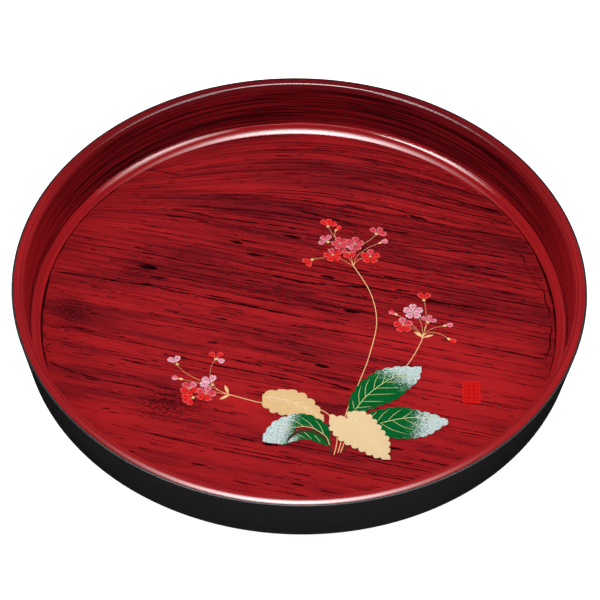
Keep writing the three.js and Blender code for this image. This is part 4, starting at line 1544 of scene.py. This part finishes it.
def add_camera():
    elevation, roll = CAMERA_ELEVATION, CAMERA_ROLL
    rim = RIM_RADIUS * MM
    aim = Vector((CAMERA_AIM[0] * rim, CAMERA_AIM[1] * rim, (RIM_TOP - 0.3) * MM))
    back = Vector((0, -math.cos(elevation), math.sin(elevation)))
    up = Vector((0, math.sin(elevation), math.cos(elevation)))
    right = Vector((1, 0, 0))
    turned_right = math.cos(roll) * right + math.sin(roll) * up
    turned_up = -math.sin(roll) * right + math.cos(roll) * up
    camera = bpy.data.objects.new("camera", bpy.data.cameras.new("camera"))
    camera.data.lens = 210
    camera.data.sensor_width = 36
    place = Matrix((turned_right, turned_up, back)).transposed().to_4x4()
    place.translation = aim + CAMERA_DISTANCE * rim * back
    camera.matrix_world = place
    bpy.context.scene.collection.objects.link(camera)
    bpy.context.scene.camera = camera


add_camera()


# ---------------------------------------------------------------- lights and stage

def add_fill_light():
    """A soft square light over the tray that glossy surfaces don't see."""
    size, distance, radiance = 2.6, 2.0, 0.6
    data = bpy.data.lights.new("overhead_fill", "AREA")
    data.shape = "RECTANGLE"
    data.size = size
    data.size_y = size
    data.energy = radiance * math.pi * size * size
    light = bpy.data.objects.new("overhead_fill", data)
    towards = Vector((0, -0.1, 1)).normalized()
    light.location = towards * distance
    light.rotation_euler = towards.to_track_quat("Z", "Y").to_euler()
    light.visible_glossy = False
    light.visible_camera = False
    bpy.context.scene.collection.objects.link(light)


def direction_of(azimuth, elevation):
    a, e = math.radians(azimuth), math.radians(elevation)
    return (math.cos(a) * math.cos(e), math.sin(a) * math.cos(e), math.sin(e))


CARD_DISTANCE = 6.0


def add_card(name, direction, width, height, radiance, profile, spin=0.0):
    """A glowing card that only glossy surfaces see. Its glow fades by a formula of its two sides."""
    across, up = 29, 21
    verts, faces, glow = [], [], []
    for j in range(up):
        for i in range(across):
            u, v = 2 * i / (across - 1) - 1, 2 * j / (up - 1) - 1
            verts.append((u * width / 2 / MM, v * height / 2 / MM, 0))
            glow.append(radiance * profile(u, v))
    for j in range(up - 1):
        for i in range(across - 1):
            a = j * across + i
            faces.append((a, a + 1, a + 1 + across, a + across))
    card = new_object(name, verts, faces, smooth=False)
    add_value(card, "glow", glow)
    material = bpy.data.materials.new(name)
    material.use_nodes = True
    tree = material.node_tree
    tree.nodes.clear()
    emission = tree.nodes.new("ShaderNodeEmission")
    attribute = tree.nodes.new("ShaderNodeAttribute")
    attribute.attribute_name = "glow"
    output = tree.nodes.new("ShaderNodeOutputMaterial")
    tree.links.new(attribute.outputs["Fac"], emission.inputs["Strength"])
    tree.links.new(emission.outputs[0], output.inputs[0])
    card.data.materials.append(material)
    towards = Vector(direction).normalized()
    card.location = towards * CARD_DISTANCE
    level = Vector((0, -1, 0)) if towards.z > 0.9 else Vector((0, 0, 1))
    sideways = level.cross(towards).normalized()
    turn = Matrix((sideways, towards.cross(sideways), towards)).transposed()
    card.rotation_euler = (turn @ Matrix.Rotation(math.radians(spin), 3, "Z")).to_euler()
    card.visible_camera = False
    card.visible_diffuse = False
    card.visible_shadow = False
    card.visible_transmission = False


def soft_spot(u, v):
    return max(0.0, math.exp(-7.0 * u * u - 5.6 * v * v) - 0.004)


def fading_strip(bright_end, plateau):
    """Bright near one end, fading to the other and from the plateau upwards."""

    def profile(u, v):
        along = (1 + u * bright_end) / 2
        across = eased(v, -1.0, -0.8) * (1 - eased(v, plateau, 1.0))
        return float(eased(along, 0.0, 0.7) * (1 - eased(along, 0.94, 1.0)) * across)

    return profile


add_card("overhead_shine", (-0.02, -0.02, 1), 8.4, 8.4, 29, soft_spot)
add_card("right_shine", direction_of(-29, 38), 6.1, 3.2, 17, fading_strip(-1, -0.7), spin=10)
add_card("left_shine", direction_of(-146, 34), 6.1, 1.8, 24, fading_strip(1, 0.5), spin=-10)
add_fill_light()

world = bpy.data.worlds.new("studio")
world.use_nodes = True
world.node_tree.nodes["Background"].inputs["Color"].default_value = (1, 1, 1, 1)
world.node_tree.nodes["Background"].inputs["Strength"].default_value = 0.9
world.cycles_visibility.glossy = False
bpy.context.scene.world = world

stage_shader = Shader("stage", Roughness=0.9)
stage_shader.feed(Base_Color=(0.95, 0.95, 0.95, 1), Specular_IOR_Level=0.0)
stage_shader.feed(Emission_Color=(1, 1, 1, 1), Emission_Strength=0.8)
STAGE_REACH = 9000
corners = [(x * STAGE_REACH, y * STAGE_REACH, 0) for x, y in ((-1, -1), (1, -1), (1, 1), (-1, 1))]
stage = new_object("stage", corners, [(0, 1, 2, 3)], smooth=False)
stage.data.materials.append(stage_shader.material)
stage.visible_glossy = False

view = bpy.context.scene.view_settings
view.view_transform = "Standard"
view.look = "None"
